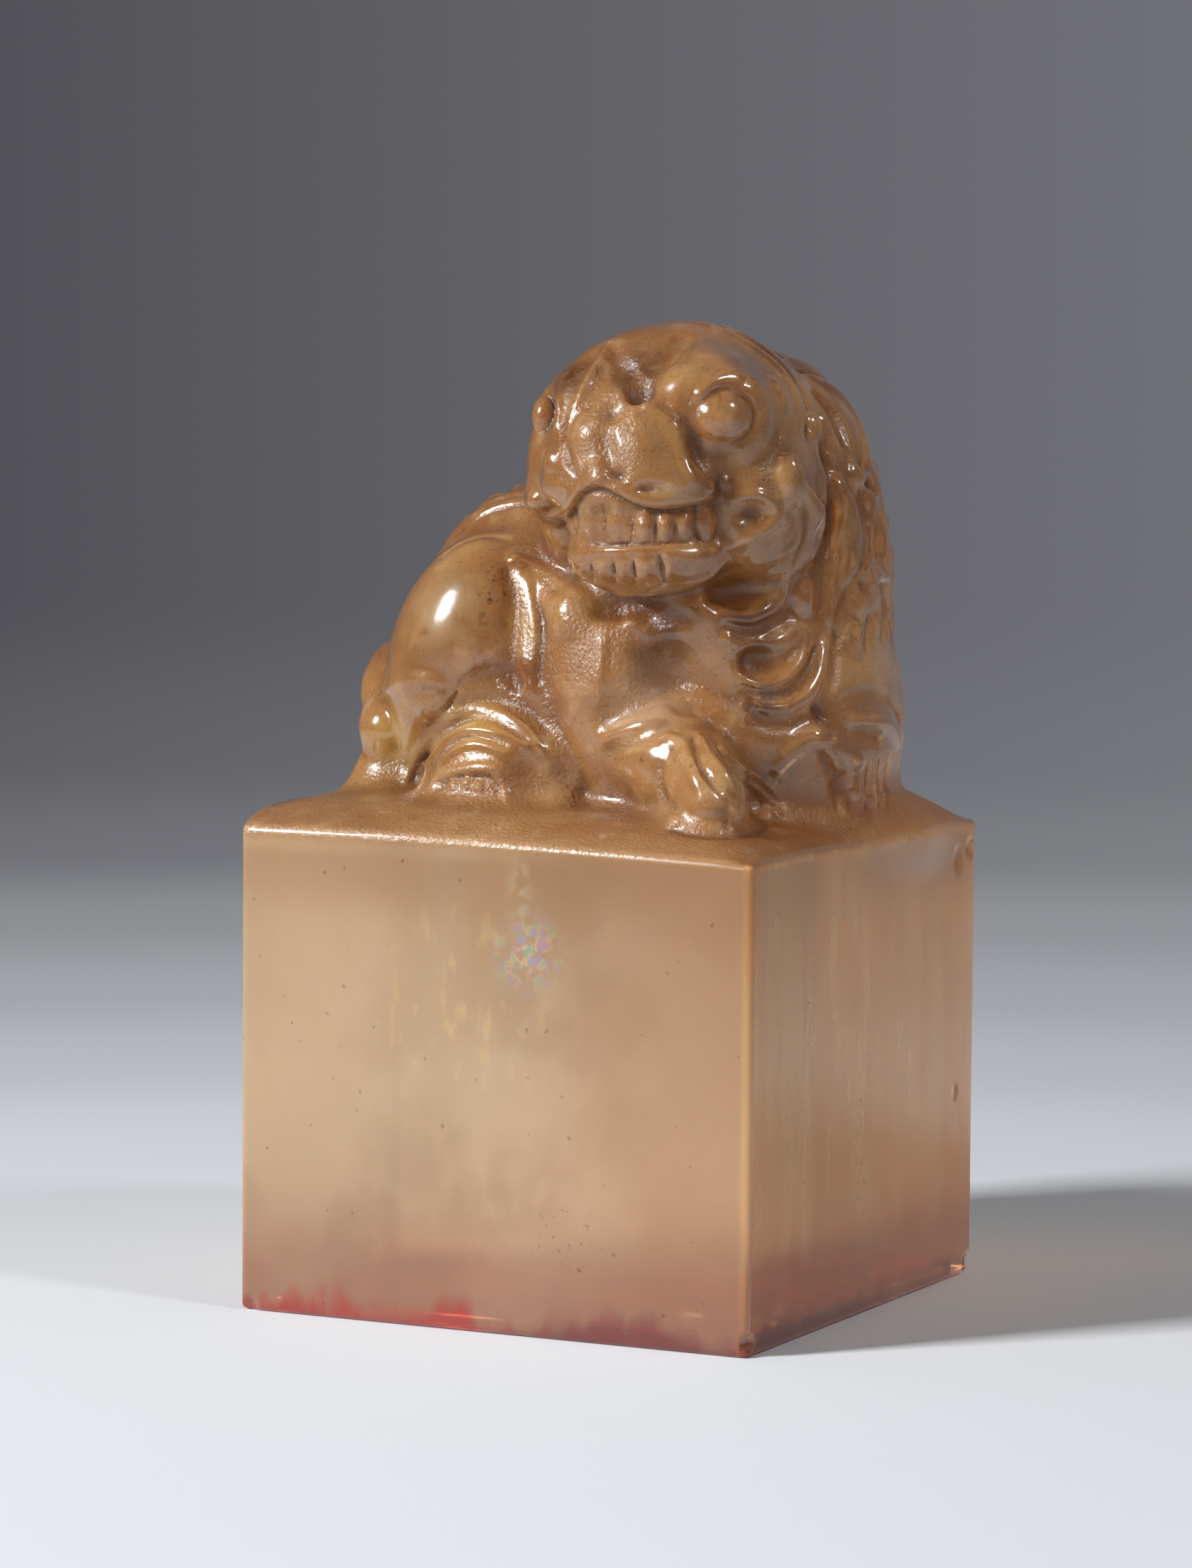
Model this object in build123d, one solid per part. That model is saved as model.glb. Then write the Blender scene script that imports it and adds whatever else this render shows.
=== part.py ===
from build123d import *
from math import cos, degrees, radians, sin
import os

# A square seal of translucent stone with a crouching lion carved on its top.
# The lion lies along X with its rump at -X. Its head is turned to look out over the front face, at -Y.
# The origin is the middle of the square printing face, Z is up, and the unit is the millimetre.
# The stone is one piece in life. Each solid here is one mass of the carving,
# and each mass stops where the one listed before it begins, so that they share faces and never overlap.

# The block
block_width = 30.0
block_depth = 30.0
block_height = 25.5
block_edge_round = 0.5
overrun = 2.0

# The carved printing face: a frame and four square spirals left standing, and the dried paste between them
relief_height = 0.8
frame_width = 1.7
frame_gap = 1.1
stroke_width = 1.3
spiral_nodes = 5
spirals_per_side = 2
spiral_corners = [(0, 0), (4, 0), (4, 4), (0, 4), (0, 1), (3, 1), (3, 3), (1, 3), (1, 2), (2, 2)]
paste_thickness = 0.15

# The lion as a whole. The places of its masses are shares of these three, from the middle of the block's top
beast_length = 27.0
beast_width = 20.0
beast_height = 27.6

# The low ledge that the lion lies on
ledge_height = 1.1
ledge_base_inset = 0.9
ledge_top_inset = 2.6
ledge_corner_round = 2.4

# Trunk
torso_length = 19.6
torso_width = 17.2
torso_height = 19.4
torso_shares = (-0.075, 0.03, 0.295)
torso_pitch = -12

rump_length = 11.6
rump_width = 15.6
rump_height = 17.0
rump_shares = (-0.289, 0.03, 0.225)
rump_pitch = 15

chest_length = 12.6
chest_width = 18.2
chest_height = 17.4
chest_shares = (0.265, 0.1, 0.21)

neck_length = 12.4
neck_width = 12.0
neck_height = 15.0
neck_shares = (0.222, -0.1, 0.455)

# Hind quarters
haunch_length = 9.4
haunch_width = 8.8
haunch_height = 13.2
haunch_pitch = 22
right_haunch_shares = (-0.233, -0.23, 0.35)
left_haunch_shares = (-0.233, 0.27, 0.35)

hind_foot_length = 9.2
hind_foot_width = 5.4
hind_foot_height = 8.8
right_hind_foot_shares = (-0.118, -0.37, 0.1)
left_hind_foot_shares = (-0.118, 0.41, 0.1)

hind_toe_length = 3.2
hind_toe_width = 2.8
hind_toe_height = 2.6
hind_toe_count = 3
hind_toe_rise_share = 0.41

# Forelegs
shoulder_length = 8.4
shoulder_width = 7.2
shoulder_height = 14.8
shoulder_pitch = -12
right_shoulder_shares = (0.118, -0.28, 0.285)
left_shoulder_shares = (0.34, 0.36, 0.28)

foreleg_length = 9.6
foreleg_width = 5.4
foreleg_height = 5.8
foreleg_pitch = 28
foreleg_turn = -20
right_foreleg_shares = (0.26, -0.385, 0.185)
left_foreleg_shares = (0.4, 0.19, 0.17)
left_foreleg_turn = 8

paw_length = 5.4
paw_width = 5.2
paw_height = 5.4
paw_pitch = 30
right_paw_shares = (0.375, -0.505, 0.1)
right_paw_turn = -48
left_paw_shares = (0.425, 0.07, 0.09)
left_paw_turn = 0

toe_length = 3.4
toe_width = 1.7
toe_height = 2.2
toe_count = 4
toe_fan = 19
toe_pitch = 30
toe_reach_share = 0.34

# Tail: a thick curl up the rump, ending in a round knob beside the right haunch
tail_root_radius = 1.9
tail_middle_radius = 1.7
tail_tip_radius = 1.2
tail_root_shares = (-0.42, 0.2, 0.12)
tail_middle_shares = (-0.47, -0.02, 0.3)
tail_tip_shares = (-0.43, -0.2, 0.22)
tail_knob_size = 3.3
tail_knob_shares = (-0.405, -0.285, 0.195)
tail_heel_size = 3.2
tail_heel_shares = (-0.43, -0.255, 0.1)

# Beads of the spine, from the rump up to the nape
spine_bead_length = 2.6
spine_bead_width = 2.4
spine_bead_height = 1.6
spine_bead_count = 6
spine_start_angle = 152
spine_end_angle = 92

# Head
skull_width = 13.8
skull_depth = 15.8
skull_height = 14.2
skull_shares = (0.193, -0.12, 0.743)

face_width = 10.4
face_depth = 7.2
face_height = 10.0
face_shares = (0.185, -0.37, 0.735)

muzzle_width = 9.6
muzzle_depth = 5.4
muzzle_height = 4.8
muzzle_shares = (0.181, -0.465, 0.69)

nose_width = 5.0
nose_depth = 3.2
nose_height = 3.0
nose_shares = (0.181, -0.53, 0.755)

jaw_width = 9.0
jaw_depth = 7.6
jaw_height = 5.0
jaw_shares = (0.2, -0.38, 0.555)

brow_width = 4.8
brow_depth = 4.2
brow_height = 2.8
brow_roll = 15
right_brow_shares = (0.072, -0.41, 0.85)
left_brow_shares = (0.33, -0.4, 0.885)

eye_size = 3.1
right_eye_shares = (0.02, -0.41, 0.797)
left_eye_shares = (0.36, -0.38, 0.808)

ear_length = 2.8
ear_width = 5.0
ear_height = 6.0
right_ear_shares = (-0.02, -0.02, 0.8)
left_ear_shares = (0.425, 0.0, 0.795)

cheek_length = 5.0
cheek_width = 8.0
cheek_height = 9.2
right_cheek_shares = (0.0, -0.19, 0.66)
left_cheek_shares = (0.392, -0.19, 0.656)

# Teeth: one row of blocks in each jaw, curved round the front of the mouth
tooth_width = 1.15
tooth_depth = 1.6
upper_tooth_height = 1.7
lower_tooth_height = 1.9
tooth_gap = 0.18
tooth_round = 0.25
tooth_count = 6
tooth_row_radius = 4.9
upper_teeth_shares = (0.185, -0.285, 0.602)
lower_teeth_shares = (0.195, -0.275, 0.53)

# Mane: two broad masses, with tapering locks laid over them
nape_width = 11.4
nape_depth = 11.2
nape_height = 14.4
nape_shares = (0.268, 0.16, 0.67)

mantle_width = 7.8
mantle_depth = 12.8
mantle_height = 18.4
mantle_shares = (0.352, 0.17, 0.475)

lock_root_radius = 1.5
lock_middle_radius = 1.25
lock_tip_radius = 0.35
lock_sink_share = 0.35
nape_lock_count = 6
nape_lock_bends = ((0, 52), (-6, 8), (5, -38))
nape_lock_first_angle = 34
nape_lock_last_angle = 172
mantle_lock_count = 5
mantle_lock_bends = ((0, 46), (8, 2), (-8, -42))
mantle_lock_first_angle = -62
mantle_lock_last_angle = 58

curl_root_radius = 1.3
curl_middle_radius = 1.1
curl_tip_radius = 0.3
curl_root_shares = (0.43, -0.04, 0.43)
curl_bend_shares = (0.405, -0.24, 0.41)
curl_tip_shares = (0.33, -0.36, 0.45)
curl_step_share = 0.075
curl_count = 3


def place(shares):
    """A point from its shares of the lion's length, width and height, above the block's top."""
    x_share, y_share, z_share = shares
    return Vector(x_share * beast_length, y_share * beast_width, block_height + z_share * beast_height)


def mass(length, width, height, shares, pitch=0, turn=0, roll=0):
    """An egg-shaped mass, tilted about Y by pitch, about X by roll, and then turned about Z."""
    egg = scale(Sphere(1), by=(length / 2, width / 2, height / 2))
    return Location(place(shares)) * Rotation(0, 0, turn) * Rotation(0, pitch, 0) * Rotation(roll, 0, 0) * egg


def on_mass(width, depth, height, shares, around, above):
    """The point on an upright mass that lies around degrees from +X and above degrees from its waist."""
    centre = place(shares)
    level = cos(radians(above))
    return centre + Vector(
        width / 2 * level * cos(radians(around)),
        depth / 2 * level * sin(radians(around)),
        height / 2 * sin(radians(above)),
    )


def tapered(points, radii):
    """A round tapering tube through three points, with a radius at each of them and between them."""
    spine = ThreePointArc(*points)
    root, middle, tip = radii
    stations = [(0, root), (0.25, (root + middle) / 2), (0.5, middle), (0.75, (middle + tip) / 2), (1, tip)]
    rings = [Plane(spine @ t, z_dir=spine % t) * Circle(radius) for t, radius in stations]
    return loft(rings)


def spread(first, last, count):
    """Evenly spaced values from first to last."""
    return [first + (last - first) * i / (count - 1) for i in range(count)]


def stone_block():
    """The square block. Its underside is the ground of the carved face, above the standing relief."""
    body_height = block_height - relief_height
    body = Pos(0, 0, relief_height) * Box(
        block_width, block_depth, body_height, align=(Align.CENTER, Align.CENTER, Align.MIN)
    )
    body = fillet(body.edges().filter_by(Axis.Z) + body.faces().sort_by(Axis.Z)[-1].edges(), block_edge_round)
    return body


def face_frame():
    """The standing frame round the printing face, flush with the block's sides."""
    outer = RectangleRounded(block_width, block_depth, block_edge_round)
    inner = Rectangle(block_width - 2 * frame_width, block_depth - 2 * frame_width)
    return extrude(outer - inner, relief_height)


def face_spirals():
    """Square spirals in a mirrored pattern, as a common fret, each a solid of its own."""
    field = block_width - 2 * (frame_width + frame_gap)
    nodes = spiral_nodes * spirals_per_side
    pitch = (field - stroke_width) / (nodes - 1)
    spirals = []
    for side_x in (-1, 1):
        for side_y in (-1, 1):
            corners = [
                (side_x * pitch * (spiral_nodes - 1 / 2 - i), side_y * pitch * (spiral_nodes - 1 / 2 - j))
                for i, j in spiral_corners
            ]
            bars = []
            for (x0, y0), (x1, y1) in zip(corners, corners[1:]):
                bar = Rectangle(abs(x1 - x0) + stroke_width, abs(y1 - y0) + stroke_width)
                bars.append(Pos((x0 + x1) / 2, (y0 + y1) / 2) * bar)
            spirals.append(extrude(bars[0].fuse(*bars[1:]), relief_height))
    return spirals


def paste_film(spirals):
    """Dried vermilion paste on the ground of the face, round the standing strokes."""
    well = Rectangle(block_width - 2 * frame_width, block_depth - 2 * frame_width)
    film = Pos(0, 0, relief_height - paste_thickness) * extrude(well, paste_thickness)
    return film.cut(*spirals)


def ledge():
    """The low ledge under the lion, rising from the block's top."""
    low = Pos(0, 0, block_height) * RectangleRounded(
        block_width - 2 * ledge_base_inset, block_depth - 2 * ledge_base_inset, ledge_corner_round
    )
    high = Pos(0, 0, block_height + ledge_height) * RectangleRounded(
        block_width - 2 * ledge_top_inset, block_depth - 2 * ledge_top_inset, ledge_corner_round
    )
    return loft([low, high])


def paw(shares, turn):
    """A forepaw with its toes fanned over the front, as one solid."""
    whole = mass(paw_length, paw_width, paw_height, shares, paw_pitch, turn)
    for fan in spread(-1, 1, toe_count):
        toe = scale(Sphere(1), by=(toe_length / 2, toe_width / 2, toe_height / 2))
        swing = turn + fan * toe_fan * (toe_count - 1) / 2
        lean = Rotation(0, 0, swing) * Rotation(0, toe_pitch, 0)
        whole += Location(place(shares)) * lean * Pos(paw_length * toe_reach_share, 0, 0) * toe
    return whole


def hind_foot(shares, side):
    """A hind foot folded flat beside the belly, with its toes in a row, as one solid."""
    whole = mass(hind_foot_length, hind_foot_width, hind_foot_height, shares)
    foot = place(shares)
    for step in spread(-1, 1, hind_toe_count):
        toe = scale(Sphere(1), by=(hind_toe_length / 2, hind_toe_width / 2, hind_toe_height / 2))
        at = foot + Vector(
            step * hind_toe_length * 2 / 3,
            side * hind_foot_width / 2,
            hind_foot_height * (hind_toe_rise_share - 1 / 2),
        )
        whole += Location(at) * toe
    return whole


def teeth(shares, height):
    """A row of teeth round the front of the mouth, each a solid of its own."""
    centre = place(shares)
    step = (tooth_width + tooth_gap) / tooth_row_radius
    row = []
    for i in range(tooth_count):
        angle = (i - (tooth_count - 1) / 2) * step
        tooth = fillet(Box(tooth_width, tooth_depth, height).edges().filter_by(Axis.Z), tooth_round)
        at = centre + Vector(tooth_row_radius * sin(angle), -tooth_row_radius * cos(angle), 0)
        row.append(Location(at) * Rotation(0, 0, degrees(angle)) * tooth)
    return row


def spine_beads():
    """Beads along the back, from the rump up towards the nape."""
    beads = []
    centre = place(torso_shares)
    for angle in spread(spine_start_angle, spine_end_angle, spine_bead_count):
        at = centre + Vector(
            torso_length / 2 * cos(radians(angle)), 0, torso_height / 2 * sin(radians(angle))
        )
        bead = scale(Sphere(1), by=(spine_bead_length / 2, spine_bead_width / 2, spine_bead_height / 2))
        beads.append(Location(at) * Rotation(0, 90 - angle, 0) * bead)
    return beads


def nape_locks():
    """Locks that fall from the crown over the back of the head."""
    locks = []
    size = (nape_width, nape_depth, nape_height)
    sink = 1 - lock_sink_share * lock_root_radius / (nape_width / 2)
    sunk = tuple(side * sink for side in size)
    for around in spread(nape_lock_first_angle, nape_lock_last_angle, nape_lock_count):
        points = [on_mass(*sunk, nape_shares, around + swing, above) for swing, above in nape_lock_bends]
        locks.append(tapered(points, (lock_middle_radius, lock_root_radius, lock_tip_radius)))
    return locks


def mantle_locks():
    """Locks that hang down the left side of the head, towards the left forepaw."""
    locks = []
    size = (mantle_width, mantle_depth, mantle_height)
    sink = 1 - lock_sink_share * lock_root_radius / (mantle_width / 2)
    sunk = tuple(side * sink for side in size)
    for around in spread(mantle_lock_first_angle, mantle_lock_last_angle, mantle_lock_count):
        points = [on_mass(*sunk, mantle_shares, around + swing, above) for swing, above in mantle_lock_bends]
        locks.append(tapered(points, (lock_middle_radius, lock_root_radius, lock_tip_radius)))
    return locks


def throat_curls():
    """Flame-shaped curls under the left of the jaw, one below the other."""
    curls = []
    for i in range(curl_count):
        drop = Vector(0, 0, -i * curl_step_share * beast_height)
        points = [place(shares) + drop for shares in (curl_root_shares, curl_bend_shares, curl_tip_shares)]
        curls.append(tapered(points, (curl_root_radius, curl_middle_radius, curl_tip_radius)))
    return curls


def meet(a, b):
    """True if two bounding boxes overlap."""
    lows = (a.min.X, b.min.X, a.min.Y, b.min.Y, a.min.Z, b.min.Z)
    highs = (b.max.X, a.max.X, b.max.Y, a.max.Y, b.max.Z, a.max.Z)
    return all(low < high for low, high in zip(lows, highs))


def trimmed(shape, box, carriers):
    """What is left of a mass outside those listed before it: its one main solid."""
    for carrier, carrier_box in carriers:
        if meet(box, carrier_box):
            shape = max(shape.cut(carrier).solids(), key=lambda solid: solid.volume)
    return shape


def masses():
    """Each mass of the lion by name, as a list of solids, the larger ones first."""
    torso = mass(torso_length, torso_width, torso_height, torso_shares, torso_pitch)
    tail_points = [place(tail_root_shares), place(tail_middle_shares), place(tail_tip_shares)]
    tail = tapered(tail_points, (tail_root_radius, tail_middle_radius, tail_tip_radius))
    haunch = (haunch_length, haunch_width, haunch_height)
    shoulder = (shoulder_length, shoulder_width, shoulder_height)
    foreleg = (foreleg_length, foreleg_width, foreleg_height)
    cheek = (cheek_length, cheek_width, cheek_height)
    brow = (brow_width, brow_depth, brow_height)
    eye = (eye_size, eye_size, eye_size)
    ear = (ear_length, ear_width, ear_height)
    knob = (tail_knob_size, tail_knob_size, tail_knob_size)
    heel = (tail_heel_size, tail_heel_size, tail_heel_size)
    return {
        "torso": [torso],
        "chest": [mass(chest_length, chest_width, chest_height, chest_shares)],
        "rump": [mass(rump_length, rump_width, rump_height, rump_shares, rump_pitch)],
        "neck": [mass(neck_length, neck_width, neck_height, neck_shares)],
        "skull": [mass(skull_width, skull_depth, skull_height, skull_shares)],
        "nape_mane": [mass(nape_width, nape_depth, nape_height, nape_shares)],
        "side_mane": [mass(mantle_width, mantle_depth, mantle_height, mantle_shares)],
        "right_haunch": [mass(*haunch, right_haunch_shares, haunch_pitch)],
        "left_haunch": [mass(*haunch, left_haunch_shares, haunch_pitch)],
        "right_shoulder": [mass(*shoulder, right_shoulder_shares, shoulder_pitch)],
        "left_shoulder": [mass(*shoulder, left_shoulder_shares, shoulder_pitch)],
        "right_hind_foot": [hind_foot(right_hind_foot_shares, -1)],
        "left_hind_foot": [hind_foot(left_hind_foot_shares, 1)],
        "right_foreleg": [mass(*foreleg, right_foreleg_shares, foreleg_pitch, foreleg_turn)],
        "left_foreleg": [mass(*foreleg, left_foreleg_shares, foreleg_pitch, left_foreleg_turn)],
        "right_forepaw": [paw(right_paw_shares, right_paw_turn)],
        "left_forepaw": [paw(left_paw_shares, left_paw_turn)],
        "face": [mass(face_width, face_depth, face_height, face_shares)],
        "muzzle": [mass(muzzle_width, muzzle_depth, muzzle_height, muzzle_shares)],
        "lower_jaw": [mass(jaw_width, jaw_depth, jaw_height, jaw_shares)],
        "right_cheek": [mass(*cheek, right_cheek_shares)],
        "left_cheek": [mass(*cheek, left_cheek_shares)],
        "nose": [mass(nose_width, nose_depth, nose_height, nose_shares)],
        "right_brow": [mass(*brow, right_brow_shares, brow_roll)],
        "left_brow": [mass(*brow, left_brow_shares, -brow_roll)],
        "right_eye": [mass(*eye, right_eye_shares)],
        "left_eye": [mass(*eye, left_eye_shares)],
        "right_ear": [mass(*ear, right_ear_shares)],
        "left_ear": [mass(*ear, left_ear_shares)],
        "upper_teeth": teeth(upper_teeth_shares, upper_tooth_height),
        "lower_teeth": teeth(lower_teeth_shares, lower_tooth_height),
        "tail": [tail],
        "tail_knob": [mass(*knob, tail_knob_shares)],
        "tail_heel": [mass(*heel, tail_heel_shares)],
        "spine_beads": spine_beads(),
        "nape_locks": nape_locks(),
        "side_locks": mantle_locks(),
        "throat_curls": throat_curls(),
    }


def build():
    """Every node by name, as a list of solids that share faces and don't overlap."""
    block = stone_block()
    spirals = face_spirals()
    nodes = {
        "seal_block": [block],
        "face_frame": [face_frame()],
        "face_spirals": spirals,
        "vermilion_paste": [paste_film(spirals)],
        "ledge": [ledge()],
    }
    carriers = [(solid, solid.bounding_box()) for solid in (block, nodes["ledge"][0])]
    for name, shapes in masses().items():
        nodes[name] = []
        for shape in shapes:
            box = shape.bounding_box()
            nodes[name].append(trimmed(shape, box, carriers))
            carriers.append((shape, box))
    return nodes


os.makedirs("parts", exist_ok=True)
for name, solids in build().items():
    whole = Compound(children=[s for shape in solids for s in shape.solids()])
    export_step(whole, f"parts/{name}.step")
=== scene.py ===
import bpy
import numpy as np
from mathutils import Matrix, Vector

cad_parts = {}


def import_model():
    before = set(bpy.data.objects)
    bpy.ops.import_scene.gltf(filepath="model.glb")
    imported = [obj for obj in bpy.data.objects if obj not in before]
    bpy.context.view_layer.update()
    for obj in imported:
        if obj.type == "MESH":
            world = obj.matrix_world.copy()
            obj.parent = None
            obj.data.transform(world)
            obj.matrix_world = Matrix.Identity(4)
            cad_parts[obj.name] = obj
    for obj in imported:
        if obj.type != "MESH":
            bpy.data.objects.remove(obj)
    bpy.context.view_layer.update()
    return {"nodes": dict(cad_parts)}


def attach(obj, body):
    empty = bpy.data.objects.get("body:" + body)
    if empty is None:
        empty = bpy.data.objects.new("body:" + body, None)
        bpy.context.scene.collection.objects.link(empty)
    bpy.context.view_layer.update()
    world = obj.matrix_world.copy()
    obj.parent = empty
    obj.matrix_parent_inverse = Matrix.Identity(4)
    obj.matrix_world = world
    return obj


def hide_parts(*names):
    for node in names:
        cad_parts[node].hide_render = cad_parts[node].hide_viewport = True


# The photograph's camera: angles in degrees, lengths in millimetres, for a frame 24 mm high
AZIMUTH, ELEVATION, ROLL = 26.25, 4.93, 0.42
DISTANCE, LENS, FRAME_HEIGHT = 303.6, 85.0, 24.0
AIM_HEIGHT, AIM_RIGHT, AIM_UP = 15.0, -1.07, 12.81
PHOTO_WIDTH, PHOTO_HEIGHT = 1680, 2210

# The block, as in the CAD
HALF_BLOCK = 15.0
BLOCK_TOP = 25.5
RELIEF = 0.8
FRAME_WIDTH = 1.7

# The grid of distances in millimetres: its corners, and the distance written far from the body
GRID_LOW, GRID_HIGH = (-16, -16, -1), (16, 16, 54)
FAR = 3.0
# Rays: how far out parallel ones start, the most steps, the distance that counts as a hit, the share of the
# distance that a step takes, and the longest step back and forth
RAY_START, RAY_STEPS, TOUCH, CAUTION = 60.0, 150, 0.004, 0.85
STEP_BACK, STEP_ON = -0.5, 1.5


def axes_of(azimuth, elevation, roll=0.0):
    """Right, up and back of a camera that looks at the object from a side, as unit vectors."""
    a, e, r = np.radians([azimuth, elevation, roll])
    back = np.array([np.sin(a) * np.cos(e), -np.cos(a) * np.cos(e), np.sin(e)])
    level = np.array([np.cos(a), np.sin(a), 0.0])
    up = np.cross(back, level)
    return np.cos(r) * level + np.sin(r) * up, np.cos(r) * up - np.sin(r) * level, back


RIGHT, UP, BACK = axes_of(AZIMUTH, ELEVATION, ROLL)
AIM = np.array([0, 0, AIM_HEIGHT]) + RIGHT * AIM_RIGHT + UP * AIM_UP
EYE = AIM + BACK * DISTANCE


def photo_rays(pixels):
    """Origins and directions of the camera's rays through pixels of the photograph."""
    pixels = np.atleast_2d(np.asarray(pixels, float))
    scale = FRAME_HEIGHT / PHOTO_HEIGHT / LENS
    across = (pixels[:, 0] - PHOTO_WIDTH / 2) * scale
    down = (pixels[:, 1] - PHOTO_HEIGHT / 2) * scale
    ways = -BACK + across[:, None] * RIGHT - down[:, None] * UP
    ways /= np.linalg.norm(ways, axis=1, keepdims=True)
    return np.broadcast_to(EYE, ways.shape), ways


def side_rays(places, azimuth, elevation):
    """Parallel rays from one side, one to each place in millimetres."""
    back = axes_of(azimuth, elevation)[2]
    starts = np.atleast_2d(np.asarray(places, float)) + back * RAY_START
    return starts, np.broadcast_to(-back, starts.shape)


def spin(pitch=0.0, turn=0.0, roll=0.0):
    """The matrix that tilts by roll about X, then by pitch about Y, and then turns about Z."""
    angles = np.radians([pitch, turn, roll])
    (cp, ct, cr), (sp, st, sr) = np.cos(angles), np.sin(angles)
    about_x = np.array([[1, 0, 0], [0, cr, -sr], [0, sr, cr]])
    about_y = np.array([[cp, 0, sp], [0, 1, 0], [-sp, 0, cp]])
    about_z = np.array([[ct, -st, 0], [st, ct, 0], [0, 0, 1]])
    return about_z @ about_y @ about_x


def soft_min(a, b, blend):
    """The lower of two distances, with the crease between them rounded over the blend's length."""
    near = np.maximum(blend - np.abs(a - b), 0) / blend
    return np.minimum(a, b) - near * near * blend / 4


def soft_max(a, b, blend):
    return -soft_min(-a, -b, blend)


def smooth_path(points, per_span=8):
    """Points along a smooth curve through the given ones."""
    points = np.asarray(points, float)
    if len(points) < 3:
        t = np.linspace(0, 1, per_span + 1)[:, None]
        return points[0] * (1 - t) + points[1] * t
    padded = np.vstack([2 * points[0] - points[1], points, 2 * points[-1] - points[-2]])
    t = np.linspace(0, 1, per_span, endpoint=False)[:, None]
    spans = []
    for p0, p1, p2, p3 in zip(padded, padded[1:], padded[2:], padded[3:]):
        spans.append(0.5 * (2 * p1 + (p2 - p0) * t + (2 * p0 - 5 * p1 + 4 * p2 - p3) * t ** 2
                            + (3 * p1 - p0 - 3 * p2 + p3) * t ** 3))
    return np.vstack(spans + [points[-1:]])


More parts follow.
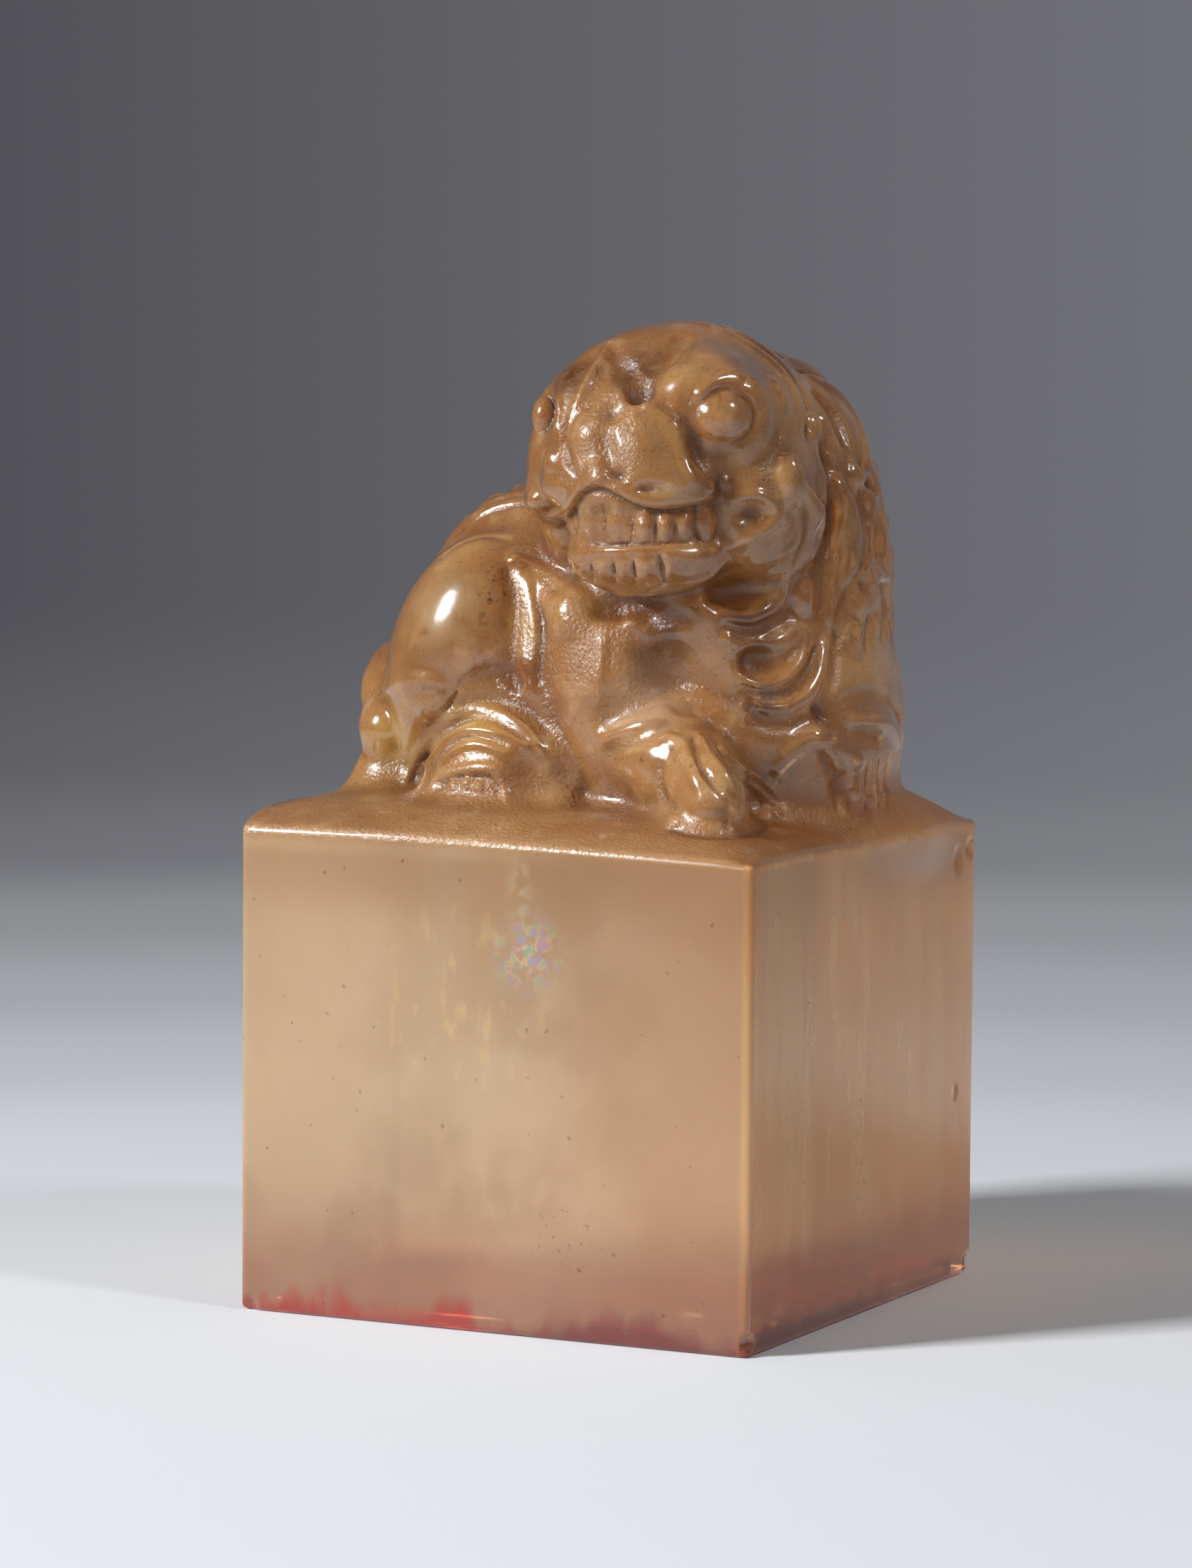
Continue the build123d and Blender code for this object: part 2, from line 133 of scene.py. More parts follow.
class Clay:
    """A body as distances on a grid of cubes, below zero inside."""

    def __init__(self, low, high, step):
        self.low, self.step = np.asarray(low, float), step
        counts = np.ceil((np.asarray(high) - self.low) / step).astype(int) + 1
        self.field = np.full(counts, FAR, np.float32)

    def window(self, low, high):
        """The part of the grid in a box: its slices, and its coordinates along each axis."""
        low, high = ((np.asarray(corner) - self.low) / self.step for corner in (low, high))
        first = np.maximum(np.floor(low).astype(int), 0)
        last = np.minimum(np.ceil(high).astype(int) + 1, self.field.shape)
        cut = tuple(slice(a, max(a, b)) for a, b in zip(first, last))
        lines = [(np.arange(a, max(a, b)) * self.step + origin).astype(np.float32)
                 for a, b, origin in zip(first, last, self.low)]
        return cut, np.meshgrid(*lines, indexing="ij", sparse=True)

    def blend_in(self, low, high, distance, blend, carve=False, margin=1.0):
        """Add a shape to the body, or carve it away, with a soft crease."""
        cut, grid = self.window(np.asarray(low) - margin - blend, np.asarray(high) + margin + blend)
        there = self.field[cut]
        if there.size == 0:
            return
        shape = distance(*grid)
        self.field[cut] = -soft_min(-there, shape, blend) if carve else soft_min(there, shape, blend)

    def egg(self, centre, radii, blend=0.6, pitch=0.0, turn=0.0, roll=0.0, carve=False):
        """An egg-shaped mass or hollow."""
        centre, radii = np.asarray(centre, float), np.asarray(radii, float)
        matrix = spin(pitch, turn, roll)
        reach = np.sqrt(((matrix * radii) ** 2).sum(axis=1))

        def distance(x, y, z):
            x, y, z = x - centre[0], y - centre[1], z - centre[2]
            local = [(matrix[0, i] * x + matrix[1, i] * y + matrix[2, i] * z) / radii[i] for i in range(3)]
            size = np.sqrt(sum(q * q for q in local))
            steep = np.sqrt(sum((q / r) ** 2 for q, r in zip(local, radii)))
            return size * (size - 1) / np.maximum(steep, 1e-4)

        self.blend_in(centre - reach, centre + reach, distance, blend, carve)

    def rope(self, points, radii, blend=0.3, carve=False):
        """A round cord of changing radius along a path, as a ridge or, carved, as a groove."""
        points = np.asarray(points, float)
        radii = np.broadcast_to(radii, len(points))

        def distance(x, y, z):
            best = None
            for a, b, ra, rb in zip(points, points[1:], radii, radii[1:]):
                run = b - a
                along = np.clip(((x - a[0]) * run[0] + (y - a[1]) * run[1] + (z - a[2]) * run[2])
                                / max(run @ run, 1e-9), 0, 1)
                gap = np.sqrt((x - a[0] - run[0] * along) ** 2 + (y - a[1] - run[1] * along) ** 2
                              + (z - a[2] - run[2] * along) ** 2) - (ra + (rb - ra) * along)
                best = gap if best is None else np.minimum(best, gap)
            return best

        widest = radii.max()
        low, high = points.min(axis=0) - widest, points.max(axis=0) + widest
        self.blend_in(low, high, distance, blend, carve, margin=0.6)

    def at(self, points):
        """The distance at any points, between the grid's."""
        spot = (np.asarray(points) - self.low) / self.step
        spot = np.clip(spot, 0, np.array(self.field.shape) - 1.001)
        base = spot.astype(int)
        part = spot - base
        total = 0
        for corner in np.ndindex(2, 2, 2):
            weight = np.prod(np.where(corner, part, 1 - part), axis=1)
            total = total + weight * self.field[tuple((base + corner).T)]
        return total

    def outward(self, points):
        """The surface's outward direction near points."""
        steps = np.eye(3) * self.step
        slope = np.stack([self.at(points + s) - self.at(points - s) for s in steps], axis=1)
        return slope / np.maximum(np.linalg.norm(slope, axis=1, keepdims=True), 1e-6)

    def cast(self, starts, ways):
        """Where rays meet the body, and which of them do."""
        high = self.low + (np.array(self.field.shape) - 1) * self.step
        with np.errstate(divide="ignore"):
            gates = np.stack([(self.low - starts) / ways, (high - starts) / ways])
        travel = np.maximum(gates.min(axis=0).max(axis=1), 0) + self.step / 10
        leave = gates.max(axis=0).min(axis=1)
        active = np.flatnonzero(travel < leave)
        hit = np.zeros(len(travel), bool)
        for _ in range(RAY_STEPS):
            gap = self.at(starts[active] + ways[active] * travel[active, None])
            met = np.abs(gap) < TOUCH
            hit[active[met]] = True
            travel[active] += np.where(met, 0, np.clip(gap, STEP_BACK, STEP_ON) * CAUTION)
            active = active[~met & (travel[active] < leave[active])]
            if not len(active):
                break
        return starts + ways * travel[:, None], hit

    def traced(self, marks, view=None):
        """The smooth path on the surface through marks in the photograph or from a side, and its outward."""
        path = smooth_path(marks)
        spots, hit = self.cast(*(photo_rays(path) if view is None else side_rays(path, *view)))
        spots = spots[hit]
        return spots, self.outward(spots)

    def stroke(self, marks, radius, height, blend=0.25, view=None, taper=(0.5, 1.0, 0.5), carve=False):
        """A ridge on the surface, or a groove in it, along marks. Taper gives shares of its width."""
        spots, outward = self.traced(marks, view)
        if len(spots) < 2:
            return
        shares = np.interp(np.linspace(0, 1, len(spots)), np.linspace(0, 1, len(taper)), taper)
        radii = radius * shares
        lift = (height * shares - radii) * (-1 if carve else 1)
        self.rope(spots + outward * lift[:, None], radii, blend, carve)

    def groove(self, marks, radius, depth, **other):
        self.stroke(marks, radius, depth, carve=True, **other)

    def dot(self, mark, radii, height, blend=0.25, view=None, carve=False):
        """A round bump on the surface, or a round pit in it."""
        spots, hit = self.cast(*(photo_rays(mark) if view is None else side_rays(mark, *view)))
        if not hit.any():
            return
        radii = np.broadcast_to(radii, 3).astype(float)
        outward = self.outward(spots)[0]
        lift = (height - radii.min()) * (-1 if carve else 1)
        self.egg(spots[0] + outward * lift, radii, blend, carve=carve)


def running_mean(field, cells):
    """The field averaged over a cube of 2 x cells + 1 steps a side."""
    for axis in range(3):
        padded = np.concatenate([np.repeat(field.take([0], axis), cells + 1, axis), field,
                                 np.repeat(field.take([-1], axis), cells, axis)], axis)
        total = np.cumsum(padded, axis=axis, dtype=np.float64)
        span = 2 * cells + 1
        after = total.take(range(span, total.shape[axis]), axis)
        before = total.take(range(0, total.shape[axis] - span), axis)
        field = ((after - before) / span).astype(np.float32)
    return field


def skin(clay):
    """The surface as vertices and four-sided faces, one vertex in each cube that the surface crosses."""
    field, counts = clay.field, np.array(clay.field.shape)
    inside = field < 0
    cells = counts - 1
    sums = np.zeros((int(np.prod(cells)), 4), np.float32)
    quads = []
    for axis in range(3):
        low = [slice(None)] * 3
        high = [slice(None)] * 3
        low[axis], high[axis] = slice(0, -1), slice(1, None)
        crossing = np.argwhere(inside[tuple(low)] != inside[tuple(high)])
        beyond = crossing.copy()
        beyond[:, axis] += 1
        f0, f1 = field[tuple(crossing.T)], field[tuple(beyond.T)]
        place = crossing.astype(np.float32)
        place[:, axis] += f0 / (f0 - f1)
        u, v = (axis + 1) % 3, (axis + 2) % 3
        around = []
        for du, dv in ((-1, -1), (0, -1), (0, 0), (-1, 0)):
            cell = crossing.copy()
            cell[:, u] += du
            cell[:, v] += dv
            flat = (cell[:, 0] * cells[1] + cell[:, 1]) * cells[2] + cell[:, 2]
            around.append(flat)
            for i in range(3):
                sums[:, i] += np.bincount(flat, place[:, i], len(sums)).astype(np.float32)
            sums[:, 3] += np.bincount(flat, minlength=len(sums)).astype(np.float32)
        quad = np.stack(around, axis=1)
        quads.append(np.where((f0 < 0)[:, None], quad, quad[:, ::-1]))
    used = np.flatnonzero(sums[:, 3])
    number = np.full(len(sums), -1, np.int64)
    number[used] = np.arange(len(used))
    vertices = sums[used, :3] / sums[used, 3:] * clay.step + clay.low
    return vertices, number[np.vstack(quads)]


# The lion's masses in millimetres: centre, half sizes, and how softly each one joins what is under it.
# Further numbers are its pitch and turn in degrees.
MASSES = (
    ((-2.0, 0.6, 33.7), (9.8, 8.6, 9.9), 0.3, -12),
    ((7.7, 2.0, 31.3), (7.1, 9.1, 8.7), 1.0),
    ((11.3, 7.4, 25.2), (3.5, 6.4, 2.3), 1.5),
    ((7.2, 3.4, 26.4), (7.4, 9.2, 2.6), 1.5),
    ((-7.8, 0.6, 31.7), (6.1, 7.8, 8.6), 1.6, 15),
    ((-5.9, 1.2, 37.9), (4.4, 5.6, 5.3), 2.5),
    ((6.0, -2.0, 38.0), (6.0, 6.0, 7.5), 1.4),
    ((5.2, -2.4, 46.0), (6.9, 7.7, 7.1), 1.2),
    ((7.2, 3.2, 44.0), (5.7, 5.6, 7.2), 1.4),
    ((9.9, 3.2, 38.4), (3.9, 6.2, 9.4), 1.4),
    ((-6.3, -4.6, 35.2), (4.7, 4.4, 6.7), 0.8, 22),
    ((-6.3, 5.4, 35.2), (4.7, 4.4, 6.7), 0.8, 22),
    ((3.0, -5.6, 33.4), (4.2, 3.4, 7.6), 0.7, -12),
    ((9.0, 7.2, 33.2), (4.2, 3.6, 7.6), 1.4, -12),
    ((-3.2, -7.2, 28.3), (4.7, 2.7, 4.3), 0.5),
    ((-3.2, 8.2, 28.3), (4.7, 2.7, 4.3), 0.5),
    ((7.0, -7.2, 29.9), (4.8, 2.8, 2.9), 0.8, 30, -20),
    ((10.8, 3.6, 30.0), (2.9, 4.4, 3.6), 1.0),
    ((9.7, -9.4, 28.1), (2.9, 2.1, 2.7), 0.9, 32, -50),
    ((11.8, 1.4, 27.8), (2.6, 2.6, 2.7), 0.6, 30),
    ((5.0, -7.0, 45.6), (5.3, 3.9, 5.0), 0.8),
    ((4.9, -9.2, 44.6), (4.9, 2.6, 2.3), 0.6),
    ((4.7, -9.1, 46.6), (3.4, 2.1, 2.7), 1.5),
    ((5.4, -7.6, 40.8), (4.4, 3.7, 2.4), 0.3),
    ((5.2, -8.1, 42.6), (4.3, 2.8, 1.7), 0.5),
    ((10.4, -3.9, 43.4), (2.7, 4.2, 4.6), 0.9),
    ((0.2, -3.8, 43.6), (2.6, 4.0, 4.4), 0.9),
    ((1.3, -6.3, 47.2), (3.1, 2.9, 3.8), 1.4, 10),
    ((0.6, -7.0, 45.2), (2.3, 2.2, 2.4), 1.0),
    ((-0.3, -7.4, 43.7), (1.5, 1.6, 1.2), 0.8),
    ((3.2, -4.8, 49.0), (3.2, 3.2, 3.1), 1.4),
    ((2.6, -7.4, 48.8), (2.2, 2.1, 1.6), 1.2),
    ((8.3, -6.6, 48.4), (3.3, 3.1, 3.0), 1.5),
    ((-11.0, -5.7, 30.8), (1.7, 1.6, 1.7), 0.35),
    ((-11.2, -5.3, 27.7), (2.2, 1.8, 2.5), 0.9),
)


# The tail, a thick curl up the rump from the left side to the knob beside the right haunch
TAIL = ((-9.5, 6.6, 27.6), (-11.6, 5.2, 30.2), (-12.6, 2.6, 33.0), (-12.9, -0.6, 34.0), (-12.5, -3.4, 33.0),
        (-11.6, -5.2, 31.4))
TAIL_TAPER = (0.0, 0.35, 1.0), (1.3, 1.75, 1.2)
TAIL_BLEND = 0.7

# The beads of the spine: the first and last angle above the level and how many, the centre that they lie
# round, and their half sizes, height and blend
SPINE = 42, 88, 6
SPINE_CENTRE = (-2.6, 0.8, 33.7)
SPINE_BEAD = (1.15, 1.05, 0.95), 0.5, 0.3

# The block's top: how far it swells towards the lion and over what distance from the edges, how much of that
# distance the left edge already has, how much higher the left end is, and the rounding of the edges
SWELL, SWELL_REACH, LEFT_START = 1.6, 2.8, 2.5
LEFT_RISE = 0.6
EDGE_ROUND = 0.35
# How many half sides from the right the rise ends, how round the swell's corners are, and the fillet at the
# lion's foot
RISE_RUN = 1.4
SWELL_CORNER = 2.0
SKIRT = 1.6


def stone_block(clay):
    """The square block. Its top swells from the edges towards the lion, and its edges are worn."""

    def distance(x, y, z):
        sides = np.maximum(x - HALF_BLOCK, -x - HALF_BLOCK - LEFT_START)
        inset = np.maximum(-soft_max(sides, np.abs(y) - HALF_BLOCK, SWELL_CORNER), 0)
        swell = SWELL * (1 - np.exp(-inset / SWELL_REACH))
        rise = LEFT_RISE * np.clip((HALF_BLOCK - x) / (RISE_RUN * HALF_BLOCK), 0, 1)
        qx, qy = np.abs(x) - HALF_BLOCK + EDGE_ROUND, np.abs(y) - HALF_BLOCK + EDGE_ROUND
        qz = np.maximum(z - BLOCK_TOP - swell - rise + EDGE_ROUND, -z + EDGE_ROUND)
        outer = np.sqrt(np.maximum(qx, 0) ** 2 + np.maximum(qy, 0) ** 2 + np.maximum(qz, 0) ** 2)
        return outer + np.minimum(np.maximum(np.maximum(qx, qy), qz), 0) - EDGE_ROUND

    high = (HALF_BLOCK, HALF_BLOCK, BLOCK_TOP + SWELL + LEFT_RISE)
    clay.blend_in((-HALF_BLOCK, -HALF_BLOCK, 0), high, distance, 0.1)


def lion(step):
    """The block and the lion's masses, with a soft fillet round the lion's foot."""
    clay, block = Clay(GRID_LOW, GRID_HIGH, step), Clay(GRID_LOW, GRID_HIGH, step)
    stone_block(block)
    for mass in MASSES:
        clay.egg(*mass)
    clay.field = soft_min(clay.field, block.field, SKIRT)
    clay.rope(smooth_path(TAIL), np.interp(np.linspace(0, 1, 8 * len(TAIL) - 7), *TAIL_TAPER), TAIL_BLEND)
    for angle in np.linspace(*SPINE):
        clay.dot(SPINE_CENTRE, *SPINE_BEAD, view=(-90, angle))
    return clay


# The printing face, as in the CAD
FRAME_GAP, STROKE_WIDTH = 1.1, 1.3
SPIRAL_NODES = 5
SPIRAL = ((0, 0), (4, 0), (4, 4), (0, 4), (0, 1), (3, 1), (3, 3), (1, 3), (1, 2), (2, 2))
GROUND_REACH = HALF_BLOCK - FRAME_WIDTH
# The film of paste: how thick it is, the height of its waves, and how much it piles up along the walls
PASTE, PASTE_WAVE, PASTE_PILE = 0.15, 0.05, 0.25


def to_strokes(x, y):
    """The distance to the printing face's spiral strokes, below zero inside one."""
    field = 2 * (HALF_BLOCK - FRAME_WIDTH - FRAME_GAP)
    pitch = (field - STROKE_WIDTH) / (2 * SPIRAL_NODES - 1)
    x, y = np.abs(x), np.abs(y)
    best = None
    for (i0, j0), (i1, j1) in zip(SPIRAL, SPIRAL[1:]):
        ends = pitch * (SPIRAL_NODES - 0.5 - np.array([[i0, j0], [i1, j1]], float))
        low, high = ends.min(axis=0), ends.max(axis=0)
        gap = np.hypot(np.maximum(np.maximum(low[0] - x, x - high[0]), 0),
                       np.maximum(np.maximum(low[1] - y, y - high[1]), 0))
        best = gap if best is None else np.minimum(best, gap)
    return best - STROKE_WIDTH / 2


def to_ground(x, y):
    """The distance to the printing face's ground, below zero where neither the frame nor a stroke stands."""
    return np.maximum(np.maximum(np.abs(x), np.abs(y)) - GROUND_REACH, -to_strokes(x, y))


def over_ground(clay, shape, blend, **settings):
    """Add a shape over the ground of the printing face, or carve it away there."""
    low, high = (-GROUND_REACH, -GROUND_REACH, 0), (GROUND_REACH, GROUND_REACH, RELIEF)
    clay.blend_in(low, high, shape, blend, **settings)


def seal_face(clay):
    """Cut the ground of the printing face, leaving the frame and the strokes standing."""
    over_ground(clay, lambda x, y, z: np.maximum(to_ground(x, y), z - RELIEF), 0.15, carve=True)


def paste_film(step):
    """Dried paste on the ground of the printing face, thicker in the corners."""
    film = Clay((-HALF_BLOCK, -HALF_BLOCK, -0.6), (HALF_BLOCK, HALF_BLOCK, RELIEF + 0.6), step)

    def layer(x, y, z):
        waves = PASTE_WAVE * np.sin(1.9 * x + 0.7 * y) * np.cos(1.3 * y - 0.4 * x)
        walls = to_ground(x, y)
        piled = PASTE_PILE * np.exp(np.minimum(walls, 0) / PASTE_PILE)
        return np.maximum(np.maximum(walls, z - RELIEF - step / 2), RELIEF - PASTE - waves - piled - z)

    over_ground(film, layer, 0.05, margin=0.5)
    return film


# Zoomed parts of the photograph in which the marks were read: the corner's pixel, and pixels per mark
WHOLE = (0, 0, 1)
HEAD = (660, 420, 0.408)
FACE = (660, 420, 0.38265)
BODY = (480, 680, 0.3189)
LOCKS = (960, 560, 0.3954)
PAWS = (840, 940, 0.2551)


def marks_in(part, marks):
    left, top, scale = part
    return np.array([left, top]) + np.asarray(marks, float) * scale


def ring(centre, across, up, count=20, first=0, last=360):
    t = np.radians(np.linspace(first, last, count))
    return np.array(centre) + np.stack([across * np.cos(t), -up * np.sin(t)], axis=1)


# Each mark: what it is, its places, its radius or half sizes and its height or depth in mm, and the blend.
EYES = (
    ("pit", (955, 425), (2.1, 2.1, 2.0), 0.32, 0.7),
    ("bump", (948, 436), (1.75, 1.75, 1.62), 0.78, 0.08),
    ("groove", ring((950, 435), 106, 104, first=-80, last=175), 0.16, 0.12, 0.14),
    ("ridge", ring((950, 435), 130, 128, first=-90, last=150), 0.3, 0.07, 0.25),
    ("pit", (290, 415), (1.0, 1.4, 1.6), 0.3, 0.4),
    ("bump", (288, 430), (0.9, 1.2, 1.25), 0.5, 0.12),
    ("ridge", [(262, 340), (300, 345), (330, 385), (335, 440), (312, 495), (280, 520)], 0.2, 0.12, 0.15),
    ("groove", [(265, 362), (295, 362), (318, 395), (320, 445), (300, 490)], 0.12, 0.1, 0.1),
)

FOREHEAD = (
    ("groove", [(790, 150), (730, 210), (680, 270), (640, 330)], 0.9, 0.3, 0.7),
    ("groove", [(545, 215), (575, 270), (620, 320), (640, 350)], 0.7, 0.28, 0.5),
    ("pit", (545, 385), (1.0, 0.8, 1.3), 0.22, 0.4),
    ("pit", (655, 350), (0.9, 0.8, 1.2), 0.2, 0.4),
    ("bump", (790, 290), (1.5, 1.2, 1.2), 0.2, 0.5),
    ("bump", (620, 205), (1.1, 1.0, 0.9), 0.16, 0.5),
    ("ridge", [(525, 165), (490, 220), (455, 290), (410, 370), (375, 450), (368, 510)], 0.34, 0.26, 0.3),
    ("groove", [(455, 215), (395, 275), (365, 340), (352, 420), (350, 500)], 0.7, 0.34, 0.4),
    ("groove", [(500, 260), (470, 330), (440, 400)], 0.5, 0.12, 0.4),
    ("ridge", [(850, 92), (930, 118), (1010, 155), (1090, 210), (1160, 275), (1205, 350), (1226, 430),
               (1222, 500)], 0.36, 0.16, 0.25),
    ("groove", [(940, 100), (1030, 145), (1115, 205), (1185, 275), (1235, 350), (1255, 430), (1250, 510)],
     0.45, 0.34, 0.25),
    ("ridge", [(870, 350), (920, 300), (990, 285), (1050, 310), (1090, 350)], 0.6, 0.14, 0.4),
    ("groove", [(905, 325), (960, 305), (1020, 318)], 0.3, 0.14, 0.25),
    ("groove", [(810, 380), (825, 450), (850, 530), (905, 580), (980, 590)], 0.6, 0.26, 0.5),
    ("ridge", [(1060, 330), (1095, 400), (1090, 480), (1050, 550), (980, 590)], 0.7, 0.18, 0.5),
    ("bump", (1150, 362), (1.0, 0.9, 1.3), 0.16, 0.5),
)

NOSE = (
    ("ridge", [(655, 400), (710, 425), (760, 480), (782, 540), (800, 610), (830, 670)], 0.5, 0.2, 0.3),
    ("groove", [(720, 390), (790, 440), (825, 520), (850, 600), (880, 650)], 0.45, 0.24, 0.35),
    ("bump", (625, 545), (1.3, 1.0, 1.1), 0.08, 0.5),
    ("bump", (430, 505), (1.1, 1.0, 1.2), 0.24, 0.4),
    ("bump", (475, 640), (0.9, 0.7, 0.7), 0.26, 0.25),
    ("groove", [(520, 430), (505, 510), (515, 590), (540, 650)], 0.5, 0.14, 0.4),
    ("bump", (302, 590), (0.9, 1.1, 1.1), 0.28, 0.3),
    ("groove", [(360, 540), (372, 600), (395, 660)], 0.35, 0.2, 0.25),
    ("groove", [(300, 655), (340, 660), (385, 690)], 0.3, 0.14, 0.25),
    ("pit", (555, 660), (0.6, 0.5, 0.45), 0.14, 0.25),
    ("pit", (700, 705), (1.2, 0.5, 0.4), 0.12, 0.3),
)

UPPER_TEETH = ((450, 768, 882, 0.5), (548, 765, 890, 0.55), (650, 790, 892, 0.46), (727, 800, 890, 0.42),
               (800, 805, 880, 0.36))
UPPER_GAPS = ((398, 770, 870), (500, 760, 895), (602, 785, 900), (690, 800, 895), (763, 805, 885))
LOWER_TEETH = ((420, 972, 1035, 0.26), (495, 965, 1040, 0.34), (570, 965, 1045, 0.3), (655, 962, 1045, 0.4))
LOWER_GAPS = ((383, 965, 1058, 0.13), (450, 955, 1050, 0.14), (533, 950, 1052, 0.14), (609, 948, 1055, 0.14),
              (714, 940, 1055, 0.24))

MOUTH = (
    ("ridge", [(425, 835), (500, 840), (600, 845), (700, 848), (800, 840)], 1.5, 0.34, 0.4),
    ("ridge", [(215, 765), (260, 795), (320, 800), (370, 770), (400, 712), (440, 680), (490, 672),
               (545, 700), (610, 735), (690, 758), (780, 752), (850, 738), (915, 728)], 0.36, 0.22, 0.25),
    ("groove", [(335, 850), (375, 810), (405, 755), (445, 718), (495, 712), (550, 738), (615, 770),
                (690, 788), (770, 785), (840, 770)], 0.22, 0.24, 0.15),
    ("bump", (250, 755), (0.8, 0.8, 0.7), 0.26, 0.2),
    *[("ridge", [(x, top), (x, low)], radius, 0.2, 0.12) for x, top, low, radius in UPPER_TEETH],
    *[("groove", [(x - 6, top), (x + 2, (top + low) / 2), (x - 2, low)], 0.13, 0.18, 0.1) for x, top,
      low in UPPER_GAPS],
    ("bump", (520, 842), 0.3, 0.12, 0.1),
    ("bump", (878, 830), (0.8, 0.8, 1.25), 0.3, 0.2),
    ("groove", [(838, 770), (836, 840), (858, 900), (905, 925)], 0.16, 0.2, 0.12),
    ("bump", (893, 703), (0.4, 0.4, 0.35), 0.2, 0.1),
    ("bump", (945, 680), (0.42, 0.42, 0.4), 0.22, 0.1),
    ("bump", (960, 745), 0.35, 0.2, 0.1),
    ("groove", [(920, 670), (932, 700), (925, 740)], 0.14, 0.14, 0.1),
    ("groove", [(350, 930), (430, 912), (520, 908), (620, 908), (720, 905), (800, 905)], 0.16, 0.2, 0.1),
    ("ridge", [(385, 945), (450, 932), (530, 928), (620, 927), (700, 928), (742, 955), (748, 1010)],
     0.2, 0.12, 0.1),
    *[("ridge", [(x, top), (x, low)], radius, 0.1, 0.1) for x, top, low, radius in LOWER_TEETH],
    *[("groove", [(x - 8, top), (x, (top + low) / 2), (x + 8, low)], radius, 0.26, 0.07) for x, top, low,
      radius in LOWER_GAPS],
    ("groove", [(325, 1075), (420, 1125), (560, 1130), (720, 1105), (880, 1070), (980, 1000)],
     0.6, 0.45, 0.35),
    ("ridge", [(318, 985), (345, 1050), (430, 1092), (560, 1092), (740, 1065), (880, 1035), (950, 960)],
     0.26, 0.1, 0.2),
    ("ridge", [(745, 935), (810, 955), (880, 940), (945, 900)], 0.6, 0.16, 0.3),
)

CHEEK = (
    ("ridge", [(925, 690), (1000, 682), (1050, 705), (1072, 745), (1045, 790), (980, 825), (905, 865)],
     0.42, 0.24, 0.25),
    ("pit", (975, 750), (1.2, 1.2, 0.8), 0.18, 0.45),
    ("ridge", [(1075, 690), (1130, 725), (1150, 785), (1130, 850), (1080, 890)], 0.38, 0.18, 0.25),
    ("ridge", [(1095, 585), (1110, 640), (1160, 690), (1200, 750), (1205, 820), (1170, 890)], 0.5, 0.34, 0.3),
    ("bump", (1120, 620), (0.7, 0.7, 0.9), 0.25, 0.3),
    ("bump", (1078, 338), (0.9, 0.9, 1.1), 0.14, 0.4),
    ("bump", (1090, 492), 0.5, 0.16, 0.25),
    ("bump", (1190, 445), (0.4, 0.4, 0.6), 0.2, 0.2),
    ("bump", (1228, 430), (0.35, 0.35, 0.5), 0.18, 0.2),
    ("groove", [(1100, 920), (1000, 960), (900, 1000)], 0.5, 0.15, 0.4),
)

UPPER_LOCKS = (
    ("groove", [(455, 60), (500, 160), (525, 270), (532, 380), (528, 480), (540, 560)], 0.37, 0.24, 0.39),
    ("ridge", [(470, 120), (478, 210), (500, 300), (498, 400), (480, 500), (455, 590)], 0.78, 0.25, 0.49),
    ("ridge", [(405, 245), (440, 330), (462, 420), (455, 520), (425, 600)], 0.78, 0.23, 0.49),
    ("groove", [(425, 300), (448, 400), (440, 500), (405, 590)], 0.28, 0.13, 0.34),
    ("bump", (402, 295), (1.0, 0.9, 1.5), 0.34, 0.3),
    ("ridge", [(560, 330), (600, 430), (618, 520), (598, 630), (560, 720), (540, 800)], 1.1, 0.4, 0.44),
    ("ridge", [(575, 420), (560, 510), (545, 600), (536, 700), (520, 780)], 0.52, 0.25, 0.34),
    ("groove", [(585, 440), (578, 530), (562, 620), (552, 690)], 0.22, 0.17, 0.26),
    ("groove", [(640, 330), (664, 440), (668, 550), (630, 640), (585, 720), (558, 800), (552, 880)],
     0.33, 0.28, 0.34),
    ("ridge", [(680, 360), (708, 450), (716, 540), (700, 620), (655, 720), (620, 800), (600, 880)],
     0.91, 0.25, 0.54),
    ("groove", [(690, 590), (722, 690), (745, 790), (752, 860)], 0.29, 0.14, 0.34),
    ("groove", [(655, 300), (672, 310), (690, 330)], 0.33, 0.21, 0.34),
    ("groove", [(700, 600), (730, 605), (745, 615)], 0.33, 0.17, 0.39),
    ("bump", (430, 715), (1.1, 1.0, 1.3), 0.36, 0.35),
)

MANE_EDGE = (
    ("bump", (1200, 760), (0.8, 0.9, 2.4), 0.34, 0.4),
    ("bump", (1152, 600), (0.7, 0.7, 0.9), 0.24, 0.3),
)

SMALL_LOCKS = (
    ("bump", (640, 735), (0.7, 0.6, 0.8), 0.16, 0.3),
    ("bump", (535, 690), (0.5, 0.5, 0.8), 0.16, 0.2),
    ("ridge", [(530, 215), (560, 280), (580, 320)], 0.47, 0.19, 0.39),
    ("ridge", [(580, 200), (620, 260), (650, 290)], 0.44, 0.15, 0.39),
)

EAR = (
    ("ridge", [(1190, 275), (1270, 325), (1330, 400), (1365, 490), (1372, 580), (1345, 650)], 0.6, 0.25, 0.3),
    ("groove", [(1200, 330), (1260, 400), (1300, 490), (1320, 580)], 0.5, 0.35, 0.3),
    ("ridge", [(1215, 400), (1255, 480), (1290, 570)], 0.22, 0.14, 0.12),
    ("ridge", [(1185, 420), (1225, 520), (1270, 620)], 0.24, 0.16, 0.14),
)

